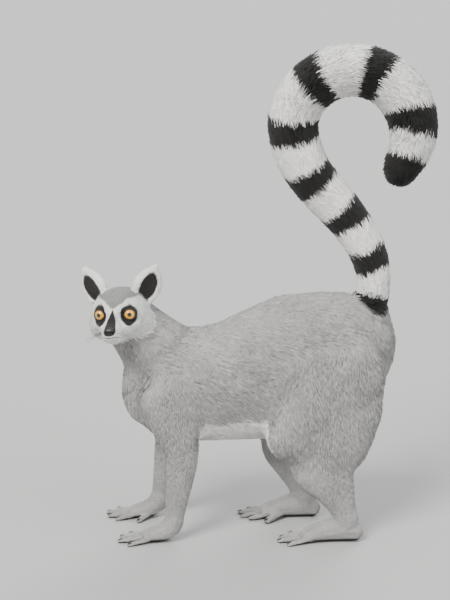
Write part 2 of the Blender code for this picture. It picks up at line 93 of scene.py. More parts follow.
def smoothstep(low, high, x):
    t = np.clip((np.asarray(x, float) - low) / (high - low), 0.0, 1.0)
    return t * t * (3.0 - 2.0 * t)


def mesh_points(mesh):
    """A mesh's points, as rows."""
    rows = np.empty(len(mesh.vertices) * 3, np.float32)
    mesh.vertices.foreach_get("co", rows)
    return rows.reshape(-1, 3).astype(float)


def mesh_triangles(mesh, what="vertices"):
    """The three points of each of a mesh's triangles, or its three loops."""
    mesh.calc_loop_triangles()
    rows = np.empty(len(mesh.loop_triangles) * 3, np.int32)
    mesh.loop_triangles.foreach_get(what, rows)
    return rows.reshape(-1, 3)


def node_points(name):
    return mesh_points(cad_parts[name].data)


def node_faces(name):
    """A node's welded points, their outward normals and its triangles."""
    corners = node_points(name)
    places = np.round(corners * 1e6).astype(np.int64)
    _, first, back = np.unique(places, axis=0, return_index=True, return_inverse=True)
    points = corners[first]
    faces = back.reshape(-1)[mesh_triangles(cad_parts[name].data)]
    faces = faces[(faces != np.roll(faces, 1, axis=1)).all(1)]
    return points, vertex_normals(points, faces), faces


def node_middle(name):
    low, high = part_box(name)
    return np.array((low + high) / 2)


def tree_of(points):
    """A tree that finds the nearest of these points."""
    tree = KDTree(len(points))
    for i, point in enumerate(points):
        tree.insert(point, i)
    tree.balance()
    return tree


def nearest_index(tree, points):
    return np.array([tree.find(point)[1] for point in points])


def vertex_normals(points, faces):
    crosses = np.cross(points[faces[:, 1]] - points[faces[:, 0]], points[faces[:, 2]] - points[faces[:, 0]])
    total = np.zeros_like(points)
    for corner in range(3):
        for axis in range(3):
            total[:, axis] += np.bincount(faces[:, corner], crosses[:, axis], len(points))
    return unit(total)


def mesh_from(name, points, faces):
    """A mesh from arrays of points and of triangles."""
    mesh = bpy.data.meshes.new(name)
    mesh.vertices.add(len(points))
    mesh.vertices.foreach_set("co", np.ascontiguousarray(points, np.float32).ravel())
    mesh.loops.add(faces.size)
    mesh.loops.foreach_set("vertex_index", np.ascontiguousarray(faces, np.int32).ravel())
    mesh.polygons.add(len(faces))
    mesh.polygons.foreach_set("loop_start", np.arange(0, faces.size, faces.shape[1], dtype=np.int32))
    mesh.update(calc_edges=True)
    mesh.polygons.foreach_set("use_smooth", np.ones(len(faces), bool))
    return mesh


def joined(shapes):
    """Several shapes of points and faces as one."""
    starts = np.cumsum([0] + [len(points) for points, _ in shapes[:-1]])
    return (
        np.vstack([points for points, _ in shapes]),
        np.vstack([faces + start for (_, faces), start in zip(shapes, starts)]),
    )


def new_object(name, mesh):
    thing = bpy.data.objects.new(name, mesh)
    bpy.context.scene.collection.objects.link(thing)
    return thing


def settled(name, mesh, material):
    """A finished piece of the model, which rides on its one body."""
    mesh.materials.append(material)
    piece = new_object(name, mesh)
    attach(piece, BODY)
    return piece


def evaluated_mesh(thing):
    """The object's mesh with its modifiers applied."""
    bpy.context.view_layer.update()
    return bpy.data.meshes.new_from_object(thing.evaluated_get(bpy.context.evaluated_depsgraph_get()))


def discard(thing):
    mesh = thing.data
    bpy.data.objects.remove(thing)
    bpy.data.meshes.remove(mesh)


def paint(mesh, tones):
    """Gives a mesh one colour for each of its points, or one for all of them."""
    layer = mesh.color_attributes.new("tone", "FLOAT_COLOR", "POINT")
    rows = np.ones((len(mesh.vertices), 4), np.float32)
    rows[:, :3] = tones
    layer.data.foreach_set("color", rows.ravel())


def linear(colour):
    """A colour's linear values, from the display values that a person picks."""
    c = np.asarray(colour, float)[:3]
    return np.where(c <= 0.04045, c / 12.92, ((c + 0.055) / 1.055) ** 2.4)


def ripple(points, size, seed):
    """Smooth variation from about -1 to 1 over the points, with waves of about this size."""
    draw = np.random.default_rng(seed)
    total = np.zeros(len(points))
    for _ in range(7):
        way = unit(draw.normal(size=3)[None])[0]
        total += np.sin(points @ way * (2 * math.pi / size) * draw.uniform(0.6, 1.5) + draw.uniform(0, 6.28))
    return total / 2.6


# ---------------------------------------------------------------- the head's own axes
class HeadAxes:
    """Forward, left and up on the head, with its origin inside the skull."""

    NOSE_DROP = math.atan2(15.3, 34.5)

    def __init__(self):
        self.eyes = {side: node_points(f"eye_{side}").mean(0) for side in SIDES}
        nose = node_points("nose").mean(0)
        between = (self.eyes["left"] + self.eyes["right"]) / 2
        self.left = unit(self.eyes["left"] - self.eyes["right"])
        muzzle = nose - between
        muzzle = unit(muzzle - self.left * dot(muzzle, self.left))
        above = np.cross(muzzle, self.left)
        self.forward = unit(muzzle * math.cos(self.NOSE_DROP) + above * math.sin(self.NOSE_DROP))
        self.up = np.cross(self.forward, self.left)
        self.origin = between - self.forward * (EYE_PLACE[0] * MM) - self.up * (EYE_PLACE[2] * MM)

    def local(self, points):
        """Forward, left and up of each point, in millimetres."""
        away = np.asarray(points) - self.origin
        return np.stack([away @ self.forward, away @ self.left, away @ self.up], -1) / MM

    def world(self, rows):
        """The place in the frame of rows of forward, left and up, in millimetres."""
        forward, left, up = np.split(np.asarray(rows, float) * MM, 3, axis=-1)
        return self.origin + forward * self.forward + left * self.left + up * self.up

    def turned(self, rows):
        """Rows of forward, left and up as ways in the frame."""
        forward, left, up = np.split(rows, 3, axis=-1)
        return forward * self.forward + left * self.left + up * self.up

    def way(self, forward, left, up):
        return unit(forward * self.forward + left * self.left + up * self.up)

    def on_side(self, way, sign):
        """A way that is given for the left, on the left (1) or mirrored on the right (-1)."""
        return self.way(way[0], way[1] * sign, way[2])


# ---------------------------------------------------------------- the tail's middle line
class TailLine:
    """The tail's middle, from the rump to the tip, found from where its lengths meet."""

    STALK = 30 * MM  # how much of the tail's root belongs to the trunk's solid
    STALK_RADIUS = 23 * MM
    STUMP_CUT = 4 * MM  # the depth of the trunk's top that is the end of that root

    def __init__(self):
        stump = node_points("trunk")
        stump = stump[stump[:, 2] > stump[:, 2].max() - self.STUMP_CUT]
        start = (stump.min(0) + stump.max(0)) / 2
        self.root = start - [0, 0, self.STALK]
        knots = [self.root, start]
        for here, there in zip(TAIL_NODES, TAIL_NODES[1:]):
            knots.append(self.meeting(node_points(here), node_points(there)))
        last = node_points(TAIL_NODES[-1])
        knots.append(last[np.argmax(np.linalg.norm(last - knots[-1], axis=1))])
        self.points = self.curve(np.array(knots))
        steps = np.linalg.norm(np.diff(self.points, axis=0), axis=1)
        self.along = np.concatenate([[0], np.cumsum(steps)])
        self.length = self.along[-1]
        self.ways = unit(np.gradient(self.points, axis=0))
        self.tree = tree_of(self.points)

    @staticmethod
    def meeting(here, there):
        """The middle of the points where two lengths of the tail touch."""
        tree = tree_of(there)
        near = np.array([tree.find(point)[2] for point in here]) < 1.0 * MM
        return here[near].mean(0)

    @staticmethod
    def curve(knots, steps=60):
        """A smooth curve through the knots."""
        ends = np.vstack([2 * knots[0] - knots[1], knots, 2 * knots[-1] - knots[-2]])
        rows = []
        for a, b, c, d in zip(ends, ends[1:], ends[2:], ends[3:]):
            second = 2 * a - 5 * b + 4 * c - d
            third = 3 * (b - c) + d - a
            for t in np.arange(steps) / steps:
                rows.append(0.5 * (2 * b + (c - a) * t + second * t**2 + third * t**3))
        rows.append(knots[-1])
        return np.array(rows)

    def on_stalk(self, points):
        """Which points of the trunk are on the root of the tail."""
        away = points - self.points[0]
        return (away[:, 2] > 0) & (np.hypot(away[:, 0], away[:, 1]) < self.STALK_RADIUS)

    def nearest(self, points):
        """For each point, the share of the tail's length there and the way to the tip."""
        index = nearest_index(self.tree, points)
        return self.along[index] / self.length, self.ways[index]


HEAD = HeadAxes()
TAIL = TailLine()


# ---------------------------------------------------------------- sizes and colours that a user can change
def length_property(name, description, default, **limits):
    return FloatProperty(
        name=name, description=description, default=default, unit="LENGTH", precision=4, **limits
    )


def angle_property(name, description, degrees):
    return FloatProperty(name=name, description=description, default=math.radians(degrees), subtype="ANGLE")


def colour_property(name, description, level, tint=(1.0, 1.0, 1.0)):
    return FloatVectorProperty(
        name=name, description=description, subtype="COLOR_GAMMA", size=3, min=0.0, max=1.0,
        default=tuple(min(1.0, level / 255 * t) for t in tint),
    )


class LemurSizes(bpy.types.PropertyGroup):
    cell: length_property(
        "Skin cell", "Size of the cells that the skin is made from", 1.3 * MM, min=0.8 * MM, max=3 * MM
    )
    trunk_coat: length_property("Trunk coat", "Depth of the coat on the back and flanks", 10 * MM)
    tail_coat: length_property("Tail coat", "Depth of the coat on the bushiest part of the tail", 12 * MM)
    neck_coat: length_property("Neck coat", "Depth of the coat on the neck", 8 * MM)
    opening: angle_property("Eye opening", "Half angle of the opening between the lids", 51)
    iris: length_property("Iris", "Radius of the iris", 7.0 * MM)
    pupil: length_property("Pupil", "Radius of the pupil", 2.6 * MM)
    tuft_share: FloatProperty(
        name="Tuft share", description="Share of the full number of tufts that is made", default=1.0,
        min=0.05, max=1.0, subtype="FACTOR",
    )


class LemurColours(bpy.types.PropertyGroup):
    coat: colour_property("Coat", "Grey of the back, flanks and limbs", 168, (1.0, 0.99, 0.975))
    crown: colour_property("Crown", "Darker grey of the cap and nape", 143, (1.0, 0.995, 0.985))
    white: colour_property("White", "Face, brow, cheeks and ears", 240, (1.0, 0.995, 0.98))
    belly: colour_property("Belly", "Underside between the legs", 240, (1.0, 0.99, 0.97))
    patch: colour_property("Eye patch", "Short fur round the eyes and on the muzzle", 42, (1.0, 0.97, 0.95))
    ring: colour_property("Dark ring", "Dark rings of the tail", 33, (1.0, 0.97, 0.94))
    pale_ring: colour_property("Pale ring", "Light rings of the tail", 240, (1.0, 0.99, 0.97))
    bare: colour_property("Bare skin", "Palms, soles, lids and the inside of the ears", 43, (1.0, 0.93, 0.90))
    nose: colour_property("Nose", "The bare pad of the nose", 18, (1.0, 0.97, 0.96))
    amber: colour_property("Iris", "Orange-yellow of the iris", 255, (0.93, 0.67, 0.12))
    nail: colour_property("Nails", "Finger and toe nails", 40, (1.0, 0.94, 0.90))
    floor: colour_property("Floor", "The plain floor", 184, (1.0, 1.0, 0.995))


class LemurStage(bpy.types.PropertyGroup):
    height: angle_property("Camera height", "Angle of the camera above the level", 13)
    distance: length_property("Camera distance", "From the camera to the middle of the view", 2.4)
    field: length_property("View height", "Height of the view at the model", 0.740)
    across: length_property("View middle across", "Middle of the view along the body", -0.040)
    middle: length_property("View middle height", "Height of the view's middle", 0.298)


def sizes():
    return bpy.context.scene.lemur_sizes


def colours():
    return bpy.context.scene.lemur_colours


# ---------------------------------------------------------------- materials
def nodes_of(material):
    material.use_nodes = True
    tree = material.node_tree
    tree.nodes.clear()
    output = tree.nodes.new("ShaderNodeOutputMaterial")
    shader = tree.nodes.new("ShaderNodeBsdfPrincipled")
    tree.links.new(shader.outputs["BSDF"], output.inputs["Surface"])
    return tree, shader


def noise_node(tree, scale, detail=3.0):
    where = tree.nodes.new("ShaderNodeTexCoord")
    node = tree.nodes.new("ShaderNodeTexNoise")
    node.inputs["Scale"].default_value = scale
    node.inputs["Detail"].default_value = detail
    node.inputs["Roughness"].default_value = 0.55
    tree.links.new(where.outputs["Object"], node.inputs["Vector"])
    return node


def toned(tree, shader, scale, dark, light):
    """The mesh's own colours, varied a little by fine noise, as the base colour."""
    tone = tree.nodes.new("ShaderNodeVertexColor")
    tone.layer_name = "tone"
    noise = noise_node(tree, scale)
    spread = tree.nodes.new("ShaderNodeMapRange")
    for socket, value in (("From Min", 0.3), ("From Max", 0.7), ("To Min", dark), ("To Max", light)):
        spread.inputs[socket].default_value = value
    tree.links.new(noise.outputs["Fac"], spread.inputs["Value"])
    shade = tree.nodes.new("ShaderNodeVectorMath")
    shade.operation = "SCALE"
    tree.links.new(tone.outputs["Color"], shade.inputs[0])
    tree.links.new(spread.outputs["Result"], shade.inputs["Scale"])
    tree.links.new(shade.outputs["Vector"], shader.inputs["Base Color"])


def bumped(tree, shader, scale, strength, distance):
    noise = noise_node(tree, scale, detail=4.0)
    bump = tree.nodes.new("ShaderNodeBump")
    bump.inputs["Strength"].default_value = strength
    bump.inputs["Distance"].default_value = distance
    tree.links.new(noise.outputs["Fac"], bump.inputs["Height"])
    tree.links.new(bump.outputs["Normal"], shader.inputs["Normal"])


def finish(name, tone, sockets, bump=None):
    """A material in the mesh's own colours. tone and bump are what toned() and bumped() take."""
    material = bpy.data.materials.get(name)
    if material is None:
        material = bpy.data.materials.new(name)
        tree, shader = nodes_of(material)
        toned(tree, shader, *tone)
        if bump is not None:
            bumped(tree, shader, *bump)
        for socket, value in sockets.items():
            shader.inputs[socket].default_value = value
    return material


def coat_material():
    return finish("coat_hair", (260.0, 0.90, 1.10), {
        "Roughness": 0.78, "Specular IOR Level": 0.25, "Sheen Weight": 0.15, "Sheen Roughness": 0.5,
    })


def skin_material():
    return finish(
        "hide", (420.0, 0.86, 1.12), {"Roughness": 0.72, "Specular IOR Level": 0.3}, (900.0, 0.5, 0.0006)
    )


def eye_material():
    return finish("eye_gloss", (1400.0, 0.85, 1.12), {
        "Roughness": 0.25, "Coat Weight": 1.0, "Coat Roughness": 0.03,
    })


def bare_material():
    return finish("bare_skin_dark", (900.0, 0.8, 1.2), {
        "Roughness": 0.42, "Coat Weight": 0.15, "Coat Roughness": 0.3,
    }, (1600.0, 0.5, 0.0003))


# ---------------------------------------------------------------- the flesh as one closed mesh
FLESH_GROWN = 0.4 * MM
EYES_GROWN = 1.3 * MM


def joined_flesh():
    """Every node of flesh in one mesh, each grown a little so that neighbours run into each other."""
    shapes = []
    for name in (*FLESH, "eye_left", "eye_right", "nose"):
        points, normals, faces = node_faces(name)
        grown = EYES_GROWN if name.startswith("eye") else FLESH_GROWN
        shapes.append((points + normals * grown, faces))
    return mesh_from("flesh", *joined(shapes))


def flesh_cells():
    """The flesh as one closed mesh of even cells."""
    flesh = new_object("flesh", joined_flesh())
    remesh = flesh.modifiers.new("cells", "REMESH")
    remesh.mode = "VOXEL"
    remesh.voxel_size = sizes().cell
    mesh = evaluated_mesh(flesh)
    discard(flesh)
    if len(mesh.vertices) < 1000:
        raise RuntimeError("the flesh nodes gave no skin")
    return mesh


class Neighbours:
    """The neighbours of each point of a mesh, up to eight, to even values out over it."""

    MOST = 8

    def __init__(self, mesh):
        edges = np.empty(len(mesh.edges) * 2, np.int32)
        mesh.edges.foreach_get("vertices", edges)
        edges = edges.reshape(-1, 2)
        count = len(mesh.vertices)
        pairs = np.concatenate([edges, edges[:, ::-1]])
        pairs = pairs[np.argsort(pairs[:, 0], kind="stable")]
        start = np.searchsorted(pairs[:, 0], np.arange(count))
        rank = np.arange(len(pairs)) - start[pairs[:, 0]]
        keep = rank < self.MOST
        # A row with fewer neighbours is filled up with the point itself, which mean() takes off again.
        self.table = np.repeat(np.arange(count)[:, None], self.MOST, axis=1)
        self.table[pairs[keep, 0], rank[keep]] = pairs[keep, 1]
        self.filled = np.minimum(np.bincount(pairs[:, 0], minlength=count), self.MOST)

    def mean(self, values):
        """Each row's mean over its neighbours."""
        total = values[self.table].sum(1) - values * (self.MOST - self.filled)[:, None]
        return total / np.maximum(self.filled, 1)[:, None]


def refine_face(mesh):
    """Halves the cells on the front of the head, and once more round the eyes."""
    for zone in (front_of_head, round_the_eyes):
        shape = bmesh.new()
        shape.from_mesh(mesh)
        inside = zone(HEAD.local(np.array([v.co for v in shape.verts])))
        edges = [e for e in shape.edges if inside[e.verts[0].index] and inside[e.verts[1].index]]
        bmesh.ops.subdivide_edges(shape, edges=edges, cuts=1, use_grid_fill=True)
        bmesh.ops.triangulate(shape, faces=[f for f in shape.faces if len(f.verts) > 4])
        shape.to_mesh(mesh)
        shape.free()


def front_of_head(place):
    forward, left, up = place.T
    inside = (forward > 6) & (np.abs(left) < 34) & (up > -34) & (up < 24)
    return inside & (np.linalg.norm(place - FACE_MIDDLE, axis=1) < 38)


def round_the_eyes(place):
    away = np.stack([place[:, 0], np.abs(place[:, 1]), place[:, 2]], -1) - EYE_PLACE
    return (np.linalg.norm(away, axis=1) < 15) & (away[:, 0] > -3)


SAMPLE_STEP = 3.0 * MM  # between the samples that stand for a node's surface
FEWEST_SAMPLES = 200


def within_triangles(count, draw):
    """Two shares for each of so many places in triangles, spread evenly."""
    u, v = draw.random((2, count))
    flip = u + v > 1
    u[flip], v[flip] = 1 - u[flip], 1 - v[flip]
    return u, v


def region_of(points):
    """Which node of flesh each point is nearest to, as an index into FLESH."""
    draw = np.random.default_rng(3)
    samples, labels = [], []
    for i, name in enumerate(FLESH):
        corners, _, faces = node_faces(name)
        a, b, c = (corners[faces[:, k]] for k in range(3))
        area = np.linalg.norm(np.cross(b - a, c - a), axis=1) / 2
        count = int(area.sum() / SAMPLE_STEP**2) + FEWEST_SAMPLES
        pick = np.searchsorted(np.cumsum(area), draw.random(count) * area.sum())
        u, v = within_triangles(count, draw)
        samples.append(a[pick] + (b - a)[pick] * u[:, None] + (c - a)[pick] * v[:, None])
        labels.append(np.full(count, i))
    region = np.concatenate(labels)[nearest_index(tree_of(np.vstack(samples)), points)]
    stalk = (region == FLESH.index("trunk")) & TAIL.on_stalk(points)
    region[stalk] = FLESH.index(TAIL_NODES[0])
    return region


# ---------------------------------------------------------------- how the coat lies
# Depth of the coat, and length and width of its tufts, in millimetres.
LIMB_COATS = {
    "upper_arm": (7.0, 12.0, 0.95), "forearm": (3.6, 8.5, 0.75), "hand": (0.7, 3.2, 0.45),
    "thigh": (9.0, 16.0, 1.0), "shank": (4.2, 9.5, 0.8), "foot": (0.7, 3.4, 0.45),
}
ABOVE = {"forearm": "upper_arm", "shank": "thigh"}
PAW_LIE = np.array([-0.94, 0, -0.34])


def trunk_coat(points, normals):
    """Back and flanks sweep to the tail. The hair of the chest falls, and the rump's wraps forward below."""
    x, y, _ = points.T
    flank = np.clip(np.abs(normals[:, 1]), 0, 1)
    under = smoothstep(0.045, 0.085, x) * smoothstep(-0.15, -0.6, normals[:, 2])
    chest = smoothstep(-0.11, -0.15, x)
    lie = np.stack([
        1.0 - 0.35 * smoothstep(0.10, 0.15, x) - 1.8 * under - 0.9 * chest,
        0.10 * np.sign(y) * flank,
        -0.55 * flank - 1.1 * smoothstep(0.10, 0.145, x) - 0.9 * chest,
    ], -1)
    depth = sizes().trunk_coat / MM * (1 - 0.55 * smoothstep(-0.2, -0.8, normals[:, 2]))
    return lie, depth, 19.0, 1.05


def neck_coat(points, normals):
    shoulders = node_middle("trunk") + np.array([-0.10, 0, -0.03])
    return unit(shoulders - node_middle("head")), sizes().neck_coat / MM, 15.0, 0.9


def tail_coat(points, normals):
    """Toward the tip all along, and bushier from the root on."""
    share, way = TAIL.nearest(points)
    depth = 6.5 + (sizes().tail_coat / MM - 6.5) * smoothstep(0.0, 0.55, share)
    return way, depth, 15.0 + 3.0 * smoothstep(0.0, 0.5, share), 1.0


def limb_way(part, side):
    """The way the hair lies on a limb: from where it starts down to its paw."""
    middles = {name: node_middle(f"{name}_{side}") for name in LIMB_NODES}
    ends = {
        "upper_arm": (middles["upper_arm"], middles["forearm"]),
        "forearm": (middles["upper_arm"], middles["hand"]),
        "thigh": (middles["thigh"] + np.array([-0.03, 0, 0.03]), middles["shank"]),
        "shank": (middles["thigh"] + np.array([-0.02, 0, 0]), middles["foot"] + np.array([0.03, 0, 0.02])),
    }
    if part not in ends:
        return PAW_LIE
    start, end = ends[part]
    return unit(end - start)


def limb_coat(part, side, points):
    """Forearm and shank start with the coat of the limb above them and thin out downward."""
    depth, length, width = LIMB_COATS[part]
    if part in ABOVE:
        low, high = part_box(f"{part}_{side}")
        z = points[:, 2]
        down = smoothstep(high.z - 0.02, low.z + 0.005, z)
        top = 0.9 * smoothstep(high.z - 0.030, high.z - 0.002, z)
        above_depth, above_length, _ = LIMB_COATS[ABOVE[part]]
        depth = depth * (1 - 0.55 * down) + (above_depth - depth) * top
        length = length * (1 - 0.40 * down) + (above_length - length) * top
    return limb_way(part, side), depth, length, width


def head_coat(points, normals):
    """Short hair swept back from the nose and out round each eye, longest on the cheeks and nape."""
    place = HEAD.local(points)
    forward, left, up = place.T
    lie = HEAD.turned(np.stack([
        np.full(len(points), -1.0),
        0.55 * np.sign(left) * smoothstep(2, 22, np.abs(left)),
        -0.35 * smoothstep(8, -14, up) + 0.25 * smoothstep(10, 24, up),
    ], -1))
    for side, sign in SIGNS.items():
        gaze, _, _ = gaze_axes(sign)
        away = points - HEAD.eyes[side]
        out = np.linalg.norm(away, axis=1)
        spread = unit(away - (away @ gaze)[:, None] * gaze)
        near = smoothstep(19 * MM, 12 * MM, out) * (away @ gaze > -8 * MM)
        lie += (1.2 * spread - lie) * (0.85 * near)[:, None]
    back = smoothstep(14, -18, forward)
    cheek = smoothstep(14, 28, np.abs(left)) * smoothstep(10, -6, up) * smoothstep(26, 6, forward)
    muzzle = smoothstep(26, 36, forward)
    depth = 1.0 + 4.2 * back + 5.5 * cheek
    depth += 1.0 * smoothstep(36, 20, forward)
    depth = depth * (1 - muzzle) + 0.7 * muzzle
    length = 3.6 + 6.5 * back + 6.0 * cheek - 1.6 * muzzle
    width = 0.48 + 0.30 * back + 0.14 * cheek - 0.10 * muzzle
    return lie, depth, length, width


def fork(points):
    """1 in the fork between the thighs, where the coat is thin and short, and 0 away from it."""
    x, y, z = points.T
    beside = np.abs(y - node_middle("trunk")[1])
    height = smoothstep(0.175, 0.150, z) * smoothstep(0.06, 0.09, z)
    return smoothstep(0.038, 0.024, beside) * height * smoothstep(0.0, 0.03, x)


def coat_fields(points, normals, region):
    """Rows of the coat's lie and depth, and of its tufts' length and width, for points of the outer form."""
    own = np.array(FLESH)[region]
    fields = np.zeros((len(points), 6))

    def lay(mine, lie, depth, length, width):
        fields[mine, :3] = lie
        fields[mine, 3] = depth
        fields[mine, 4] = length
        fields[mine, 5] = width

    coats = (("trunk", trunk_coat), ("neck", neck_coat), (TAIL_NODES, tail_coat), ("head", head_coat))
    for names, coat in coats:
        mine = np.isin(own, names)
        lay(mine, *coat(points[mine], normals[mine]))
    for side, sign in SIGNS.items():
        for part in LIMB_NODES:
            mine = own == f"{part}_{side}"
            lay(mine, *limb_coat(part, side, points[mine]))
        lay(own == f"ear_{side}", HEAD.on_side(EAR_RISES, sign), 0.9, 5.0, 0.5)
    between = fork(points)
    fields[:, 3] *= 1 - 0.65 * between
    fields[:, 4] *= 1 - 0.35 * between
    return fields


# ---------------------------------------------------------------- lids, lips and the bed of the nose
def lids(points):
    """Rounds the skin over each eye into lids, sinks it in the opening and keeps the eye in view."""
    points = points.copy()
    radius = eye_radius()
    for side, sign in SIGNS.items():
        centre = HEAD.eyes[side]
        gaze, across, rise = gaze_axes(sign)
        away = points - centre
        far = np.linalg.norm(away, axis=1)
        angle = np.arccos(np.clip(dot(unit(away), gaze), -1, 1))
        opening = opening_angle(np.arctan2(away @ rise, away @ across), sign)
        near = (far < 26 * MM) & (angle < math.radians(85))
        hold = smoothstep(math.radians(84), math.radians(60), angle) * smoothstep(16 * MM, 12 * MM, far)
        wanted = far + (radius + LID_DEPTH - far) * hold
        inside = smoothstep(opening + 0.02, opening - 0.05, angle) * smoothstep(12.5 * MM, 10.5 * MM, far)
        wanted += (radius - 1.2 * MM - wanted) * inside
        # Skin in front of the eye slides aside to the edge of the opening.
        aside = smoothstep(10.5 * MM, 12.5 * MM, far) * smoothstep(26 * MM, 20 * MM, far)
        turned = angle + (np.maximum(angle, opening + 0.05) - angle) * aside
        spread = unit(away - (away @ gaze)[:, None] * gaze)
        way = np.cos(turned)[:, None] * gaze + np.sin(turned)[:, None] * spread
        points[near] = (centre + way * wanted[:, None])[near]
    return points


def eased_sockets(points, around):
    """Evens out the skin round the eyes, outside the lids."""
    lid = eye_radius() + LID_DEPTH
    for _ in range(5):
        for side in SIDES:
            far = np.linalg.norm(points - HEAD.eyes[side], axis=1)
            hold = 0.5 * smoothstep(lid + 0.3 * MM, lid + 1.5 * MM, far) * smoothstep(19 * MM, 14 * MM, far)
            points = points + (around.mean(points) - points) * hold[:, None]
    return points


def axes_of(gaze, up):
    """A way to look, and the two ways across it."""
    across = unit(np.cross(up, gaze))
    return gaze, across, np.cross(gaze, across)


def gaze_axes(sign):
    return axes_of(HEAD.on_side(LIDS_FACE, sign), HEAD.up)


def opening_angle(turns, sign):
    """Half angle of the opening between the lids, wider across than up, with a corner toward the nose."""
    inner = np.cos(turns) * (-sign)
    return sizes().opening * (0.97 + 0.05 * np.cos(2 * turns)) + 0.07 * np.clip(inner, 0, 1) ** 10


def from_eye(place, sign):
    """How far each place of the head's axes is from the middle of an eye, in millimetres."""
    return np.linalg.norm(place - EYE_PLACE * [1, sign, 1], axis=1)


def bare_depth(points, depth):
    """Thins the coat to nothing at the lids and the nose."""
    place = HEAD.local(points)
    for sign in SIGNS.values():
        ahead = smoothstep(-4, 2, place[:, 0] - 18)
        depth = depth * (1 - ahead * smoothstep(14.0, 9.8, from_eye(place, sign)))
    nose = np.linalg.norm(place - np.array([58.5, 0, -9.5]), axis=1)
    return depth * smoothstep(6, 12, nose)


def nose_bed(points):
    """Sinks the skin under the pad of the nose."""
    away = (HEAD.local(points) - NOSE_MIDDLE) / NOSE_SIZE
    out = np.linalg.norm(away, axis=1)
    sink = smoothstep(1.28, 1.04, out) * smoothstep(-1.0, -0.3, away[:, 0])
    share = 1 - sink * (1 - 0.55 / np.maximum(out, 0.55))
    return HEAD.world(NOSE_MIDDLE + away * share[:, None] * NOSE_SIZE)


def eye_radius():
    rows = node_points("eye_left")
    return float(np.linalg.norm(rows - rows.mean(0), axis=1).max())


def mouth_height(forward):
    """Height of the line between the lips, in the head's axes."""
    return -18.6 + 2.0 * smoothstep(50, 59, forward) + 1.6 * smoothstep(36, 28, forward)


def lip_line(place, width):
    """1 on the line between the lips, and 0 from about this many millimetres off it."""
    forward, _, up = place.T
    line = np.exp(-(((up - mouth_height(forward)) / width) ** 2))
    return line * (smoothstep(29, 32, forward) * smoothstep(63, 60, forward))


def sunk_lips(points, normals):
    """Sinks a fine line between the lips."""
    return points - normals * (lip_line(HEAD.local(points), 0.75) * LIP_SINK)[:, None]


# ---------------------------------------------------------------- the markings
MARKS = ("coat", "crown", "white", "belly", "patch", "ring", "pale_ring", "bare")


def toward(rows, colour, amount):
    """Moves rows of colour toward one colour, by an amount from 0 to 1 for each."""
    rows += (colour - rows) * np.clip(amount, 0, 1)[:, None]


def markings(points):
    """The coat's colour at each point, by where it is on the animal. Rows are linear colours."""
    tints = {name: linear(getattr(colours(), name)) for name in MARKS}
    region, normals = WORK["skin_at"](points)
    own = np.array(FLESH)[region]
    rows = np.repeat(tints["coat"][None], len(points), axis=0)
    wobble = ripple(points, 14 * MM, 5)
    body_colours(rows, points, own, normals, wobble, tints)
    tail = np.isin(own, TAIL_NODES)
    if tail.any():
        rows[tail] = ring_colours(TAIL.nearest(points[tail])[0], tints)
    head = own == "head"
    if head.any():
        rows[head] = face_colours(HEAD.local(points[head]), wobble[head], tints)
    for side in SIDES:
        ear = own == f"ear_{side}"
        if ear.any():
            inner = ear_inside(points[ear], normals[ear], side)
            rows[ear] = tints["white"] + (tints["bare"] - tints["white"]) * inner[:, None]
        for part in ("hand", "foot"):
            paw = own == f"{part}_{side}"
            rows[paw] = paw_colours(rows[paw], points[paw], normals[paw], tints)
    return rows


def body_colours(rows, points, own, normals, wobble, tints):
    """A darker nape and spine, the pale underside between the legs and the dark collar of the tail's root."""
    x, y, z = points.T
    trunk = own == "trunk"
    nape = smoothstep(0.262, 0.288, z) * np.isin(own, ("neck", "head"))
    toward(rows, tints["crown"], 0.8 * nape)
    toward(rows, tints["crown"], 0.30 * trunk * smoothstep(0.25, 0.30, z + 0.003 * wobble))

    edge = 0.1450 + 0.12 * (x + 0.074) + 0.0012 * wobble
    low = smoothstep(0.003, -0.003, z - edge)
    under = np.maximum(low, smoothstep(-0.45, -0.75, normals[:, 2]) * smoothstep(0.16, 0.15, z))
    thigh_front = 0.014 - 0.044 * smoothstep(-0.005, 0.025, y)
    chest = smoothstep(-0.095, -0.125, x)
    toward(rows, tints["belly"], trunk * under * smoothstep(0.018, 0, x - thigh_front) * (1 - 0.5 * chest))

    out = np.linalg.norm(points - TAIL.root, axis=1) + MM * wobble
    toward(rows, tints["ring"], trunk * smoothstep(25 * MM, 21 * MM, out))


def face_colours(place, wobble, tints):
    """White, with a grey cap, a dark muzzle and dark eye patches. Places are in the head's axes."""
    forward, left, up = place.T
    aside = np.abs(left)
    face = np.repeat(tints["white"][None], len(place), axis=0)
    # The cap runs down to a point between the brows and rises over each eye.
    edge = np.interp(aside, (0, 3, 8, 14, 20, 26, 33), (15.0, 15.9, 18.9, 22.8, 25.2, 24.6, 21.0))
    edge = edge - 20.0 * smoothstep(2, -22, forward)
    toward(face, tints["crown"], smoothstep(-0.9, 0.9, up - edge + 0.6 * wobble))
    # The dark muzzle is a drop: a point between the brows, and round below the nose.
    half = np.interp(-up, (-14, -10, -6, -1, 4, 9, 12, 14, 15.4), (0, 1.7, 3.4, 5.2, 6.8, 7.8, 7.2, 5.4, 0))
    dark = smoothstep(0.6, -0.6, aside - half + 0.25 * wobble) * smoothstep(20, 23, forward) * (half > 0)
    dark *= smoothstep(-1, 1, up + 16 * smoothstep(44, 56, forward) + 9 * smoothstep(30, 44, forward))
    toward(face, tints["patch"], dark)
    for sign in SIGNS.values():
        toward(face, tints["patch"], smoothstep(1.05, 0.93, patch_measure(place, sign) + 0.05 * wobble))
    return face


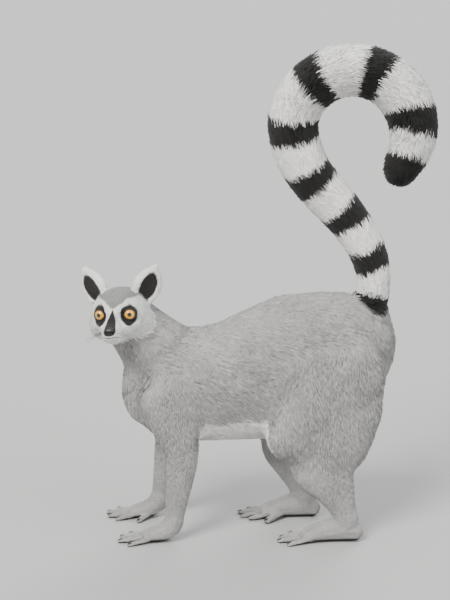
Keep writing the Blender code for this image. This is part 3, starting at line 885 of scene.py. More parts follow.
def paw_colours(rows, points, normals, tints):
    """Paler backs to the hands and feet, and dark bare palms and soles."""
    rows = rows + (tints["belly"] - rows) * 0.08
    sole = smoothstep(7.0, 4.0, points[:, 2] / MM) * smoothstep(-0.1, -0.45, normals[:, 2])
    return rows + (tints["bare"] - rows) * sole[:, None]


def ring_colours(share, tints):
    """Eight light rings with dark ones between, before and after them, a little wider toward the hook."""
    start, period, edge = 0.016, 0.1225, 0.035
    turn = (share + 0.034 * np.sin(math.pi * np.clip(share / 0.9, 0, 1)) - start) / period
    phase = turn - np.floor(turn)
    light = np.where(turn < 7, 0.55 + 0.07 * smoothstep(2, 6, turn), 0.42)
    pale = smoothstep(0, edge, phase) * smoothstep(light + edge, light, phase)
    pale = pale * smoothstep(0.024, 0.029, share) * (turn < 8)
    return tints["ring"] + (tints["pale_ring"] - tints["ring"]) * pale[:, None]


def patch_measure(place, sign):
    """How far a point of the face is out from an eye, as a share of the patch's own size there."""
    gaze, across, rise = axes_of(unit(LIDS_FACE * [1, sign, 1]), [0, 0, 1.0])
    away = place - EYE_PLACE * [1, sign, 1]
    sideways, upward, out = away @ across, away @ rise, away @ gaze
    nasal = sideways * sign < 0
    measure = np.sqrt((sideways / np.where(nasal, 12.4, 10.6)) ** 2 + ((upward + 0.6) / 13.2) ** 2)
    return np.where(out > np.where(nasal, -15, -6), measure, 9.0)


def ear_inside(points, normals, side):
    """1 on the hollow side of an ear, inside its rim, and 0 elsewhere."""
    facing, upward = (HEAD.on_side(way, SIGNS[side]) for way in (EAR_FACES, EAR_RISES))
    across = unit(np.cross(upward, facing))
    shape = node_points(f"ear_{side}")
    height, aside = shape @ upward, shape @ across
    low, high = height.min(), height.max()
    levels = np.linspace(low, high, 9)
    middles, halves = [], []
    for level in levels:
        near = aside[np.abs(height - level) < (high - low) / 7]
        middles.append((near.max() + near.min()) / 2)
        halves.append((near.max() - near.min()) / 2)
    at = points @ upward
    off = np.abs(points @ across - np.interp(at, levels, middles)) / np.interp(at, levels, halves)
    share = (at - low) / (high - low)
    leaf = np.sqrt((off / 0.58) ** 2 + ((share - 0.46) / np.where(share > 0.46, 0.36, 0.5)) ** 2)
    return smoothstep(0.05, 0.30, normals @ facing) * smoothstep(1.06, 0.90, leaf)


def skin_colours(points):
    """The markings, a little darker than the coat, with the line of the lips and dark bare lids."""
    tones = markings(points) * 0.9
    place = HEAD.local(points)
    tones *= (1 - 0.9 * lip_line(place, 0.8))[:, None]
    for sign in SIGNS.values():
        toward(tones, linear(colours().bare) * 0.5, smoothstep(13.0, 11.0, from_eye(place, sign)))
    return tones


# ---------------------------------------------------------------- the skin
def evened(points, around, steps=16, inward=0.55, outward=0.56):
    """Evens out the cells without shrinking the form."""
    for step in range(steps):
        points += (around.mean(points) - points) * (inward if step % 2 == 0 else -outward)
    return points


def run_together(points, region, around, fades=12, steps=40, share=0.6):
    """Runs the joins between trunk, neck, tail and limbs together, and fades out toward head and paws."""
    firm = ("hand", "foot", "ear", "head")
    soft = np.isin(region, [FLESH.index(name) for name in FLESH if not name.startswith(firm)])
    soft = soft.astype(float)[:, None]
    for _ in range(fades):
        soft = around.mean(soft)
    for _ in range(steps):
        points += (around.mean(points) - points) * share * soft
    return points


def blended_fields(points, faces, region, around, steps=50, share=0.7):
    """The fields of the coat, run into each other from node to node."""
    fields = coat_fields(points, vertex_normals(points, faces), region)
    for _ in range(steps):
        fields += (around.mean(fields) - fields) * share
    fields[:, 3] = bare_depth(points, fields[:, 3])
    return fields


def sunk_by_coat(points, faces, depth, around, steps=5):
    """Sinks the skin inside the outer form by the depth of the coat, evening it out as it goes."""
    hold = np.clip(depth / 6.0, 0, 1) * 0.5
    for _ in range(steps):
        normals = vertex_normals(points, faces)
        for _ in range(2):
            normals = unit(around.mean(normals))
        points = points - normals * depth * MM / steps
        for _ in range(2):
            points += (around.mean(points) - points) * hold
    return points


class OBJECT_OT_lemur_skin(bpy.types.Operator):
    """Make the one skin that stands for every node of flesh"""

    bl_idname = "object.lemur_skin"
    bl_label = "Skin"

    def execute(self, context):
        mesh = flesh_cells()
        refine_face(mesh)
        around, faces = Neighbours(mesh), mesh_triangles(mesh)
        points = evened(mesh_points(mesh), around)
        region = region_of(points)
        points = run_together(points, region, around)
        fields = blended_fields(points, faces, region, around)
        points = sunk_by_coat(points, faces, fields[:, 3:4], around)
        points = nose_bed(eased_sockets(lids(points), around))
        points = sunk_lips(points, vertex_normals(points, faces))
        mesh.vertices.foreach_set("co", points.astype(np.float32).ravel())
        mesh.update()
        remember(points, faces, fields, region)
        mesh = thinned(mesh, fields[:, 3])
        paint(mesh, skin_colours(mesh_points(mesh)))
        mesh.polygons.foreach_set("use_smooth", np.ones(len(mesh.polygons), bool))
        skin = settled("skin", mesh, skin_material())
        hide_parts(*FLESH)
        return {"FINISHED"}


def thinned(mesh, depth):
    """Merges cells where the coat is deep or an eye hides them. The face keeps all of its own."""
    skin = new_object("thinning", mesh)
    points = mesh_points(mesh)
    spare = (depth > 1.2) & (np.linalg.norm(HEAD.local(points) - FACE_MIDDLE, axis=1) > 44)
    for side in SIDES:
        spare |= np.linalg.norm(points - HEAD.eyes[side], axis=1) < eye_radius() - 0.6 * MM
    group = skin.vertex_groups.new(name="spare")
    group.add(np.nonzero(spare)[0].tolist(), 0.9, "REPLACE")
    thin = skin.modifiers.new("thin", "DECIMATE")
    thin.vertex_group = "spare"
    thin.use_collapse_triangulate = True
    thin.ratio = SKIN_TRIANGLES / len(mesh_triangles(mesh))
    result = evaluated_mesh(skin)
    discard(skin)
    result.name = "skin"
    return result


def remember(points, faces, fields, region):
    """Keeps the skin before it is thinned, with the coat's fields, for the pieces that stand on it."""
    tree = tree_of(points)
    normals = vertex_normals(points, faces)
    lie = fields[:, :3]
    lie = unit(lie - normals * dot(lie, normals)[:, None])

    def nearest(rows):
        return nearest_index(tree, rows)

    def skin_at(rows):
        """The node and the skin's normal nearest to each place."""
        index = nearest(rows)
        return region[index], normals[index]

    WORK.update(
        points=points, normals=normals, faces=faces, lie=lie, region=region, nearest=nearest, skin_at=skin_at,
        depth=fields[:, 3] * MM, length=fields[:, 4] * MM, width=fields[:, 5] * MM,
    )


# ---------------------------------------------------------------- the coat
LAYOUT_TRIANGLES = 6000


def flat_layout(mask):
    """A thinned copy of a part of the skin, laid out flat: its points, triangles and their flat corners."""
    chosen = WORK["faces"][mask[WORK["faces"]].all(1)]
    used, back = np.unique(chosen, return_inverse=True)
    patch = new_object("layout", mesh_from("layout", WORK["points"][used], back.reshape(-1, 3)))
    thin = patch.modifiers.new("thin", "DECIMATE")
    thin.ratio = min(1.0, LAYOUT_TRIANGLES / len(chosen))
    mesh = evaluated_mesh(patch)
    discard(patch)
    patch = new_object("layout", mesh)
    bpy.ops.object.select_all(action="DESELECT")
    bpy.context.view_layer.objects.active = patch
    patch.select_set(True)
    bpy.ops.object.mode_set(mode="EDIT")
    bpy.ops.mesh.select_all(action="SELECT")
    bpy.ops.uv.smart_project(angle_limit=1.15, island_margin=0.006, scale_to_bounds=True)
    bpy.ops.object.mode_set(mode="OBJECT")
    points, corners, loops = mesh_points(mesh), mesh_triangles(mesh), mesh_triangles(mesh, "loops")
    spots = np.empty(len(mesh.loops) * 2, np.float32)
    mesh.uv_layers.active.data.foreach_get("uv", spots)
    spots = spots.reshape(-1, 2).astype(float)[loops]
    discard(patch)
    return points, corners, spots


def spots_of(mask, places):
    """Where places on the skin lie on the flat layout of the part that the mask picks."""
    points, corners, spots = flat_layout(mask)
    tree = BVHTree.FromPolygons(points.tolist(), corners.tolist())
    hits = [tree.find_nearest(place) for place in places]
    where = np.array([hit[0] for hit in hits])
    index = np.array([hit[2] for hit in hits])
    a, b, c = (points[corners[index, k]] for k in range(3))
    ab, ac, ap = b - a, c - a, where - a
    d00, d01, d11, d20, d21 = dot(ab, ab), dot(ab, ac), dot(ac, ac), dot(ap, ab), dot(ap, ac)
    below = np.maximum(d00 * d11 - d01 * d01, 1e-20)
    v = np.clip((d11 * d20 - d01 * d21) / below, 0, 1)[:, None]
    w = np.clip((d00 * d21 - d01 * d20) / below, 0, 1)[:, None]
    at = spots[index]
    return at[:, 0] * (1 - v - w) + at[:, 1] * v + at[:, 2] * w


def scatter(weight, count, draw):
    """Roots spread evenly over the skin: the triangle and the place in it, with this weight at each point."""
    points, faces = WORK["points"], WORK["faces"]
    a, b, c = (points[faces[:, k]] for k in range(3))
    area = np.linalg.norm(np.cross(b - a, c - a), axis=1) * weight[faces].mean(1)
    total = np.cumsum(area)
    marks = (np.arange(count) + draw.random(count)) / count * total[-1]
    which = np.minimum(np.searchsorted(total, marks), len(faces) - 1)
    u, v = within_triangles(count, draw)
    return faces[which], np.stack([1 - u - v, u, v], -1)


def mixed(values, corners, shares):
    """Values of the skin's points, mixed by each root's shares in its triangle."""
    picked = values[corners]
    if picked.ndim == 2:
        return (picked * shares).sum(1)
    return (picked * shares[:, :, None]).sum(1)


def on_skin(places):
    """The nearest skin under each place, and its normal, lie and depth there."""
    index = WORK["nearest"](places)
    near, normal = WORK["points"][index], WORK["normals"][index]
    base = places - normal * dot(places - near, normal)[:, None]
    return base, normal, WORK["lie"][index], WORK["depth"][index]


KNEE_SHARE, TIP_SHARE = 0.32, 0.68  # of a tuft's length, below its knee and beyond it
KNEE_RISE = 0.82  # of the height of the tuft's tip
ROOT_SINK = 0.5 * MM
TUFT_PATCH = 0.0015  # half the width of a tuft's patch on the flat layout
TUFT_FACES = np.array([[0, 1, 2], [1, 3, 2], [0, 3, 1], [0, 2, 3]])  # of its root, knee and tip
TUFT_SHADES = np.array([0.80, 0.97, 0.97, 1.05])  # darker at the root, lighter at the tip


def turned(lie, normal, turn):
    """The lie, turned about the skin's normal."""
    side = np.cross(normal, lie)
    return unit(lie * np.cos(turn)[:, None] + side * np.sin(turn)[:, None])


def in_locks(root, reach, length, clump, draw):
    """Leans neighbouring tufts together into locks."""
    count = len(root)
    heads = max(8, count // 12)
    centres = draw.choice(count, heads, replace=False)
    lock = centres[nearest_index(tree_of(root[centres]), root)]
    pull = clump * draw.uniform(0.3, 1.0, count)[:, None]
    near = np.linalg.norm(root[lock] - root, axis=1) < length
    target = reach[lock] + (root - root[lock]) * 0.35
    return np.where(near[:, None], reach + (target - reach) * pull, reach)


def tuft_shapes(root, knee, tip, half, draw):
    """Each tuft's four points and their normals. root, knee and tip are pairs of places and normals."""
    (root, root_normal), (knee, knee_normal), (tip, tip_normal) = root, knee, tip
    along = unit(tip - knee)
    across = unit(np.cross(knee_normal, along) + 0.25 * draw.normal(size=len(tip))[:, None] * knee_normal)
    start = root - root_normal * ROOT_SINK
    wing = across * half[:, None]
    shape = np.stack([start, knee - wing, knee + wing, tip], 1)
    soft = np.stack([
        root_normal, knee_normal - 0.5 * across, knee_normal + 0.5 * across, tip_normal + 0.2 * along
    ], 1)
    inside_out = dot(np.cross(shape[:, 2] - start, shape[:, 1] - start), tip - start) < 0
    for rows in (shape, soft):
        rows[inside_out] = rows[inside_out][:, [0, 2, 1, 3]]
    return shape.reshape(-1, 3), unit(soft.reshape(-1, 3))


def tuft_colours(root, knee, tip, draw):
    """The markings under each tuft's middle, a little lighter, darker, warmer or cooler from tuft to tuft."""
    count = len(root)
    tones = markings(0.45 * knee + 0.55 * tip)
    light = (1 + 0.09 * draw.normal(size=count) + 0.05 * ripple(root, 40 * MM, 11))[:, None]
    warm = 1 + 0.02 * draw.normal(size=count)[:, None] * np.array([[1.0, 0.0, -1.0]])
    tones = np.clip(tones * np.clip(light, 0.6, 1.4) * warm, 0.001, 0.95)
    return np.clip(tones[:, None, :] * TUFT_SHADES[None, :, None], 0, 0.96).reshape(-1, 3)


def grow_coat(name, mask, count, seed, rise=1.0, stray=0.20, clump=0.30):
    """One piece of the coat: closed tapering tufts that rise from the skin and lie along the body."""
    draw = np.random.default_rng(seed)
    count = max(50, int(count * sizes().tuft_share))
    corners, shares = scatter(mask.astype(float), count, draw)
    root, normal, lie, length, half = (
        mixed(WORK[field], corners, shares) for field in ("points", "normals", "lie", "length", "width")
    )
    normal, lie = unit(normal), unit(lie)
    length = length * draw.uniform(0.75, 1.2, count)
    half = half * 0.5 * draw.uniform(0.7, 1.2, count)
    layer = draw.uniform(0.50, 1.0, count) * rise

    # Each tuft leaves its root across the lie by a little, and follows the body from its knee on.
    turn = stray * draw.normal(size=count) + 0.26 * ripple(root, 26 * MM, seed + 1)
    way = turned(lie, normal, turn)
    base, knee_normal, knee_lie, depth = on_skin(root + way * (KNEE_SHARE * length)[:, None])
    knee = base + knee_normal * (KNEE_RISE * layer * depth)[:, None]
    reach = base + turned(knee_lie, knee_normal, turn * 0.7) * (TIP_SHARE * length)[:, None]
    tip, tip_normal, _, depth = on_skin(in_locks(root, reach, length, clump, draw))
    tip = tip + tip_normal * (depth * np.clip(layer * draw.uniform(0.88, 1.08, count), 0, 1.02))[:, None]

    points, soft = tuft_shapes((root, normal), (knee, knee_normal), (tip, tip_normal), half, draw)
    faces = (np.arange(count)[:, None, None] * 4 + TUFT_FACES[None]).reshape(-1, 3)
    mesh = mesh_from(name, points, faces)
    paint(mesh, tuft_colours(root, knee, tip, draw))
    corner_spots = np.array([[0, -1], [-1, 0], [1, 0], [0, 1]]) * TUFT_PATCH
    spots = np.clip(spots_of(mask, root)[:, None, :] + corner_spots[None], 0.0, 1.0).reshape(-1, 2)
    flat = mesh.uv_layers.new(name="OFBake")
    flat.data.foreach_set("uv", spots[faces.ravel()].astype(np.float32).ravel())
    mesh.normals_split_custom_set_from_vertices(soft.tolist())
    settled(name, mesh, coat_material())


def picked(*names):
    """Which points of the skin belong to these nodes."""
    return np.isin(WORK["region"], [FLESH.index(name) for name in names])


def both(*parts):
    return [f"{part}_{side}" for part in parts for side in SIDES]


class OBJECT_OT_lemur_body_coat(bpy.types.Operator):
    """Grow the coat of the trunk, neck and upper limbs"""

    bl_idname = "object.lemur_body_coat"
    bl_label = "Body coat"

    def execute(self, context):
        y = WORK["points"][:, 1]
        trunk = picked("trunk")
        grow_coat("coat_trunk_left", trunk & (y < 0.001), 46000, 101)
        grow_coat("coat_trunk_right", trunk & (y > -0.001), 40000, 102)
        grow_coat("coat_neck", picked("neck"), 20000, 103)
        return {"FINISHED"}


class OBJECT_OT_lemur_limb_coat(bpy.types.Operator):
    """Grow the coat of the arms and legs"""

    bl_idname = "object.lemur_limb_coat"
    bl_label = "Limb coat"

    def execute(self, context):
        grow_coat("coat_thighs", picked(*both("thigh")), 30000, 111)
        grow_coat("coat_shanks", picked(*both("shank")), 20000, 112)
        grow_coat("coat_arms", picked(*both("upper_arm", "forearm")), 34000, 113)
        grow_coat("coat_paws", picked(*both("hand", "foot")) & upper_side(), 28000, 114, rise=0.9, stray=0.15)
        return {"FINISHED"}


def upper_side():
    """The hairy side of the paws: not the palms and soles."""
    return (WORK["normals"][:, 2] > -0.35) | (WORK["points"][:, 2] > 12 * MM)


class OBJECT_OT_lemur_tail_coat(bpy.types.Operator):
    """Grow the ringed coat of the tail"""

    bl_idname = "object.lemur_tail_coat"
    bl_label = "Tail coat"

    def execute(self, context):
        grow_coat("coat_tail_lower", picked(*TAIL_NODES[:3]), 34000, 121)
        grow_coat("coat_tail_upper", picked(*TAIL_NODES[3:]), 38000, 122)
        return {"FINISHED"}


def off_eyes_and_nose(place):
    keep = np.linalg.norm((place - NOSE_MIDDLE) / NOSE_SIZE, axis=1) > 1.14
    for sign in SIGNS.values():
        gaze = unit(LIDS_FACE * [1, sign, 1])
        away = place - EYE_PLACE * [1, sign, 1]
        angle = np.arccos(np.clip(unit(away) @ gaze, -1, 1))
        keep &= (from_eye(place, sign) >= 10.6) | (angle >= sizes().opening + math.radians(7))
    return keep


class OBJECT_OT_lemur_head_coat(bpy.types.Operator):
    """Grow the short coat of the head and ears"""

    bl_idname = "object.lemur_head_coat"
    bl_label = "Head coat"

    def execute(self, context):
        place = HEAD.local(WORK["points"])
        head = picked("head") & off_eyes_and_nose(place)
        above = place[:, 2] - mouth_height(place[:, 0])
        head &= ~((above > -0.6) & (above < 0.6) & (place[:, 0] > 33))
        front = place[:, 0] > 8
        grow_coat("coat_face", head & front, 38000, 131, stray=0.14, clump=0.2)
        grow_coat("coat_crown", head & ~front, 24000, 132, stray=0.18)
        grow_coat("coat_ears", picked(*both("ear")), 16000, 133, stray=0.2)
        return {"FINISHED"}


# ---------------------------------------------------------------- eyes, nose, nails
class OBJECT_OT_lemur_eyes(bpy.types.Operator):
    """Make the two eyeballs, with iris, pupil and cornea, and the rims of the lids"""

    bl_idname = "object.lemur_eyes"
    bl_label = "Eyes"

    def execute(self, context):
        for side, sign in SIGNS.items():
            ball = settled(f"eyeball_{side}", eyeball(side, sign), eye_material())
            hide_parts(f"eye_{side}")
            settled(f"lid_rim_{side}", lid_rim(side, sign), bare_material())
        return {"FINISHED"}


CORNEA = 0.035  # how far the cornea bulges, as a share of the eyeball's radius


def ways_out(axes, angle, turn):
    """Ways at an angle off the first axis, turned round it from the second toward the third."""
    pole, across, rise = axes
    sideways = np.cos(turn)[..., None] * across + np.sin(turn)[..., None] * rise
    return np.cos(angle)[..., None] * pole + np.sin(angle)[..., None] * sideways


def eyeball(side, sign, around=72, rings=64):
    """A ball with its pole on the pupil, a bulging cornea and an iris coloured ring by ring."""
    centre, radius = HEAD.eyes[side], eye_radius()
    axes = axes_of(HEAD.on_side(EYE_LOOKS, sign), HEAD.up)
    iris = sizes().iris / radius
    angles = np.linspace(0, math.pi, rings + 1)[1:-1]
    turns = np.arange(around) * 2 * math.pi / around
    angle, turn = np.meshgrid(angles, turns, indexing="ij")
    bulge = 1 + CORNEA * smoothstep(math.asin(min(iris, 0.99)) + 0.08, 0.0, angle)
    rows = centre + ways_out(axes, angle, turn) * (bulge * radius)[..., None]
    front = centre + axes[0] * radius * (1 + CORNEA)
    points = np.vstack([[front], rows.reshape(-1, 3), [centre - axes[0] * radius]])
    index = 1 + np.arange(rows[..., 0].size).reshape(rows.shape[:2])
    right = np.roll(index, -1, axis=1)
    faces = np.vstack([
        np.stack([np.zeros(around, int), index[0], right[0]], -1),
        np.stack([index[:-1], index[1:], right[1:]], -1).reshape(-1, 3),
        np.stack([index[:-1], right[1:], right[:-1]], -1).reshape(-1, 3),
        np.stack([index[-1], np.full(around, len(points) - 1), right[-1]], -1),
    ])
    mesh = mesh_from(f"eyeball_{side}", points, faces)
    out = np.concatenate([[0], np.sin(angle).ravel(), [0]])
    ahead = np.concatenate([[1], np.cos(angle).ravel(), [-1]])
    turn = np.concatenate([[0], turn.ravel(), [0]])
    paint(mesh, iris_colours(out, ahead, turn, iris, sizes().pupil / radius))
    return mesh


def iris_colours(out, ahead, turn, iris, pupil):
    """Black pupil, streaked amber iris with a darker edge, and dark brown beyond it."""
    amber = linear(colours().amber)
    deep = amber * np.array([0.62, 0.40, 0.30])
    pale = np.clip(amber * np.array([1.05, 1.25, 1.9]), 0, 1)
    black = np.array([0.004, 0.003, 0.003])
    brown = np.array([0.10, 0.055, 0.03])
    streak = 0.5 + 0.5 * np.sin(turn * 23 + 1.3 * np.sin(turn * 7)) * np.sin(turn * 41 + 2.0)
    share = (out - pupil) / (iris - pupil)
    rows = np.repeat(amber[None], len(out), axis=0)
    toward(rows, pale, 0.45 * smoothstep(0.55, 0.10, share) * streak)
    toward(rows, deep, smoothstep(0.55, 1.0, share) * (0.55 + 0.35 * streak))
    rows *= (1 - 0.75 * smoothstep(0.90, 1.04, share))[:, None]
    toward(rows, brown, smoothstep(1.02, 1.08, share))
    toward(rows, black, smoothstep(pupil * 1.06, pupil * 0.97, out) * (ahead > 0))
    rows[ahead < 0] = brown
    return np.clip(rows, 0, 1)


def outward_faces(points, faces, middles):
    """The faces, turned so that they face away from the middles."""
    if dot(vertex_normals(points, faces), points - middles).sum() < 0:
        return faces[:, ::-1]
    return faces


def lid_rim(side, sign, around=72, ring=10):
    """The bare dark edge of the lids, as a closed ring round the opening."""
    axes = gaze_axes(sign)
    turns = np.arange(around) * 2 * math.pi / around
    outward = unit(ways_out(axes, opening_angle(turns, sign), turns))
    middle = HEAD.eyes[side] + outward * (eye_radius() + 0.40 * MM)
    along = unit(np.roll(middle, -1, 0) - np.roll(middle, 1, 0))
    level = unit(np.cross(along, outward))
    spin = (np.arange(ring) * 2 * math.pi / ring)[None, :, None]
    rows = 1.35 * np.cos(spin) * level[:, None, :] + np.sin(spin) * outward[:, None, :]
    points = (middle[:, None, :] + 0.72 * MM * rows).reshape(-1, 3)
    index = np.arange(around * ring).reshape(around, ring)
    ahead, beside = np.roll(index, -1, 0), np.roll(index, -1, 1)
    corner = np.roll(ahead, -1, 1)
    faces = np.concatenate([
        np.stack([index, beside, corner], -1).reshape(-1, 3),
        np.stack([index, corner, ahead], -1).reshape(-1, 3),
    ])
    mesh = mesh_from(f"lid_rim_{side}", points, outward_faces(points, faces, np.repeat(middle, ring, 0)))
    paint(mesh, linear(colours().bare) * 0.5)
    return mesh


class OBJECT_OT_lemur_nose(bpy.types.Operator):
    """Make the bare pad of the nose, with its nostrils and middle groove"""

    bl_idname = "object.lemur_nose"
    bl_label = "Nose"

    def execute(self, context):
        shape = bmesh.new()
        bmesh.ops.create_icosphere(shape, subdivisions=6, radius=1.0)
        ways = np.array([v.co for v in shape.verts])
        for vert, row in zip(shape.verts, HEAD.world(nose_form(ways))):
            vert.co = row
        mesh = bpy.data.meshes.new("nose_pad")
        shape.to_mesh(mesh)
        shape.free()
        # The nostrils are painted darker inside: painted shade in the sunk holes.
        dark = 1 - 0.85 * np.clip(1.4 * nostril(ways), 0, 1)
        paint(mesh, linear(colours().nose)[None] * dark[:, None])
        mesh.polygons.foreach_set("use_smooth", np.ones(len(mesh.polygons), bool))
        pad = settled("nose_pad", mesh, bare_material())
        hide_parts("nose")
        return {"FINISHED"}


def nostril(ways):
    """1 in the middle of each nostril, which opens forward and curls outward in a slit."""
    forward, left, up = ways.T
    aside = np.abs(left)
    hole = ((aside - 0.42) / 0.17) ** 2 + ((up + 0.10 - 0.30 * (aside - 0.42)) / 0.15) ** 2
    slit = ((aside - 0.68) / 0.20) ** 2 + ((up + 0.02 - 0.55 * (aside - 0.68)) / 0.065) ** 2
    return np.maximum(np.exp(-(hole**1.5)), 0.75 * np.exp(-(slit**1.5))) * (forward > -0.2)


def nose_form(ways):
    """The pad's points in the head's axes, in millimetres, for the ways out from its middle."""
    forward, left, up = ways.T
    blunt = 1 / (np.abs(ways) ** 2.3).sum(1) ** (1 / 2.3)
    rows = ways * blunt[:, None] * NOSE_SIZE
    rows[:, 1] *= 1 - 0.34 * smoothstep(0.15, -1.0, up)
    groove = np.exp(-((left / 0.06) ** 2)) * smoothstep(0.15, -0.25, up) * smoothstep(0.1, 0.5, forward)
    hole = nostril(ways) * smoothstep(-0.1, 0.35, forward)
    wing = np.exp(-(((np.abs(left) - 0.62) / 0.26) ** 2) - ((up - 0.22) / 0.20) ** 2)
    rows[:, 0] += 0.45 * wing - 0.7 * groove - 2.4 * hole
    return rows + NOSE_MIDDLE


def tube(rows, radii, ring=8):
    """A closed tube along rows of points, with these radii."""
    along = unit(np.gradient(rows, axis=0))
    side = unit(np.cross(along, [0.31, 0.23, 0.92]))
    up = np.cross(along, side)
    spin = (np.arange(ring) * 2 * math.pi / ring)[None, :, None]
    shape = rows[:, None] + radii[:, None, None] * (np.cos(spin) * side[:, None] + np.sin(spin) * up[:, None])
    ends = [rows[:1] - along[:1] * radii[0], rows[-1:] + along[-1:] * radii[-1]]
    count = len(rows)
    index = np.arange(count * ring).reshape(count, ring)
    beside = np.roll(index, -1, 1)
    faces = np.concatenate([
        np.stack([index[:-1], beside[:-1], beside[1:]], -1).reshape(-1, 3),
        np.stack([index[:-1], beside[1:], index[1:]], -1).reshape(-1, 3),
        np.stack([np.full(ring, count * ring), beside[0], index[0]], -1),
        np.stack([np.full(ring, count * ring + 1), index[-1], beside[-1]], -1),
    ])
    return np.vstack([shape.reshape(-1, 3), *ends]), faces


def part_of_skin(mask):
    """A tree that finds where lines meet the part of the skin that the mask picks."""
    faces = WORK["faces"]
    return BVHTree.FromPolygons(WORK["points"].tolist(), faces[mask[faces].all(1)].tolist())


class OBJECT_OT_lemur_mouth(bpy.types.Operator):
    """Make the dark line of the lips and the whiskers"""

    bl_idname = "object.lemur_mouth"
    bl_label = "Lips and whiskers"
    INSIDE = 34  # how far forward the middle of the mouth's bend lies, in the head's axes
    FIRST_HEIGHT = -18.0
    MUZZLE_HAIRS, BROW_HAIRS = 10, 2

    def execute(self, context):
        self.face = part_of_skin(np.linalg.norm(HEAD.local(WORK["points"]) - FACE_MIDDLE, axis=1) < 45)
        dark = linear(colours().bare) * 0.45
        for name, shape in (("lips", self.lips()), ("whiskers", self.whiskers())):
            mesh = mesh_from(name, *shape)
            paint(mesh, dark)
            settled(name, mesh, bare_material())
        return {"FINISHED"}

    def surface(self, start, aim):
        """Where a line from one place of the head's axes toward another meets the skin."""
        start, aim = HEAD.world(start), HEAD.world(aim)
        hit = self.face.ray_cast(Vector(start), Vector(aim - start).normalized())[0]
        if hit is None:
            raise RuntimeError("a line toward the muzzle misses the skin")
        return np.array(hit)

    def lips(self):
        """A fine dark tube along the line of the mouth, found by lines that fan in toward the muzzle."""
        rows = []
        turns = np.radians(np.linspace(-76, 76, 61))
        for turn in turns:
            height = self.FIRST_HEIGHT
            for _ in range(3):
                start = [self.INSIDE + 45 * math.cos(turn), 45 * math.sin(turn), height]
                hit = self.surface(start, [self.INSIDE, 0, height])
                height = float(mouth_height(HEAD.local(hit)[0]))
            rows.append(hit)
        radii = np.interp(np.abs(turns), np.radians((0, 55, 76)), (0.62, 0.55, 0.15)) * MM
        return tube(np.array(rows), radii)

    def whiskers(self):
        """Long hairs on each side of the muzzle, and two over each eye."""
        draw = np.random.default_rng(151)
        shapes = []
        for sign in SIGNS.values():
            for k in range(self.MUZZLE_HAIRS + self.BROW_HAIRS):
                brow = k >= self.MUZZLE_HAIRS
                if brow:
                    spot = [24 + 3 * draw.random(), sign * (11 + 4 * (k - self.MUZZLE_HAIRS)), 60]
                    root = self.surface(spot, [spot[0], spot[1], 0])
                    way = HEAD.way(0.75, 0.35 * sign, 0.75)
                else:
                    spot = [43.5 + 9.5 * draw.random(), 40 * sign, -16.2 + 6 * draw.random()]
                    root = self.surface(spot, [spot[0], 0, spot[2]])
                    way = HEAD.way(-0.1 + 0.9 * draw.random(), 0.9 * sign, -0.5 + 0.8 * draw.random())
                share = np.linspace(0, 1, 9)[:, None]
                long = (12 if brow else draw.uniform(15, 23)) * MM
                rows = root + (way * share - HEAD.up * 0.22 * share**2) * long
                shapes.append(tube(rows, np.linspace(0.15, 0.04, 9) * MM, 5))
        return joined(shapes)


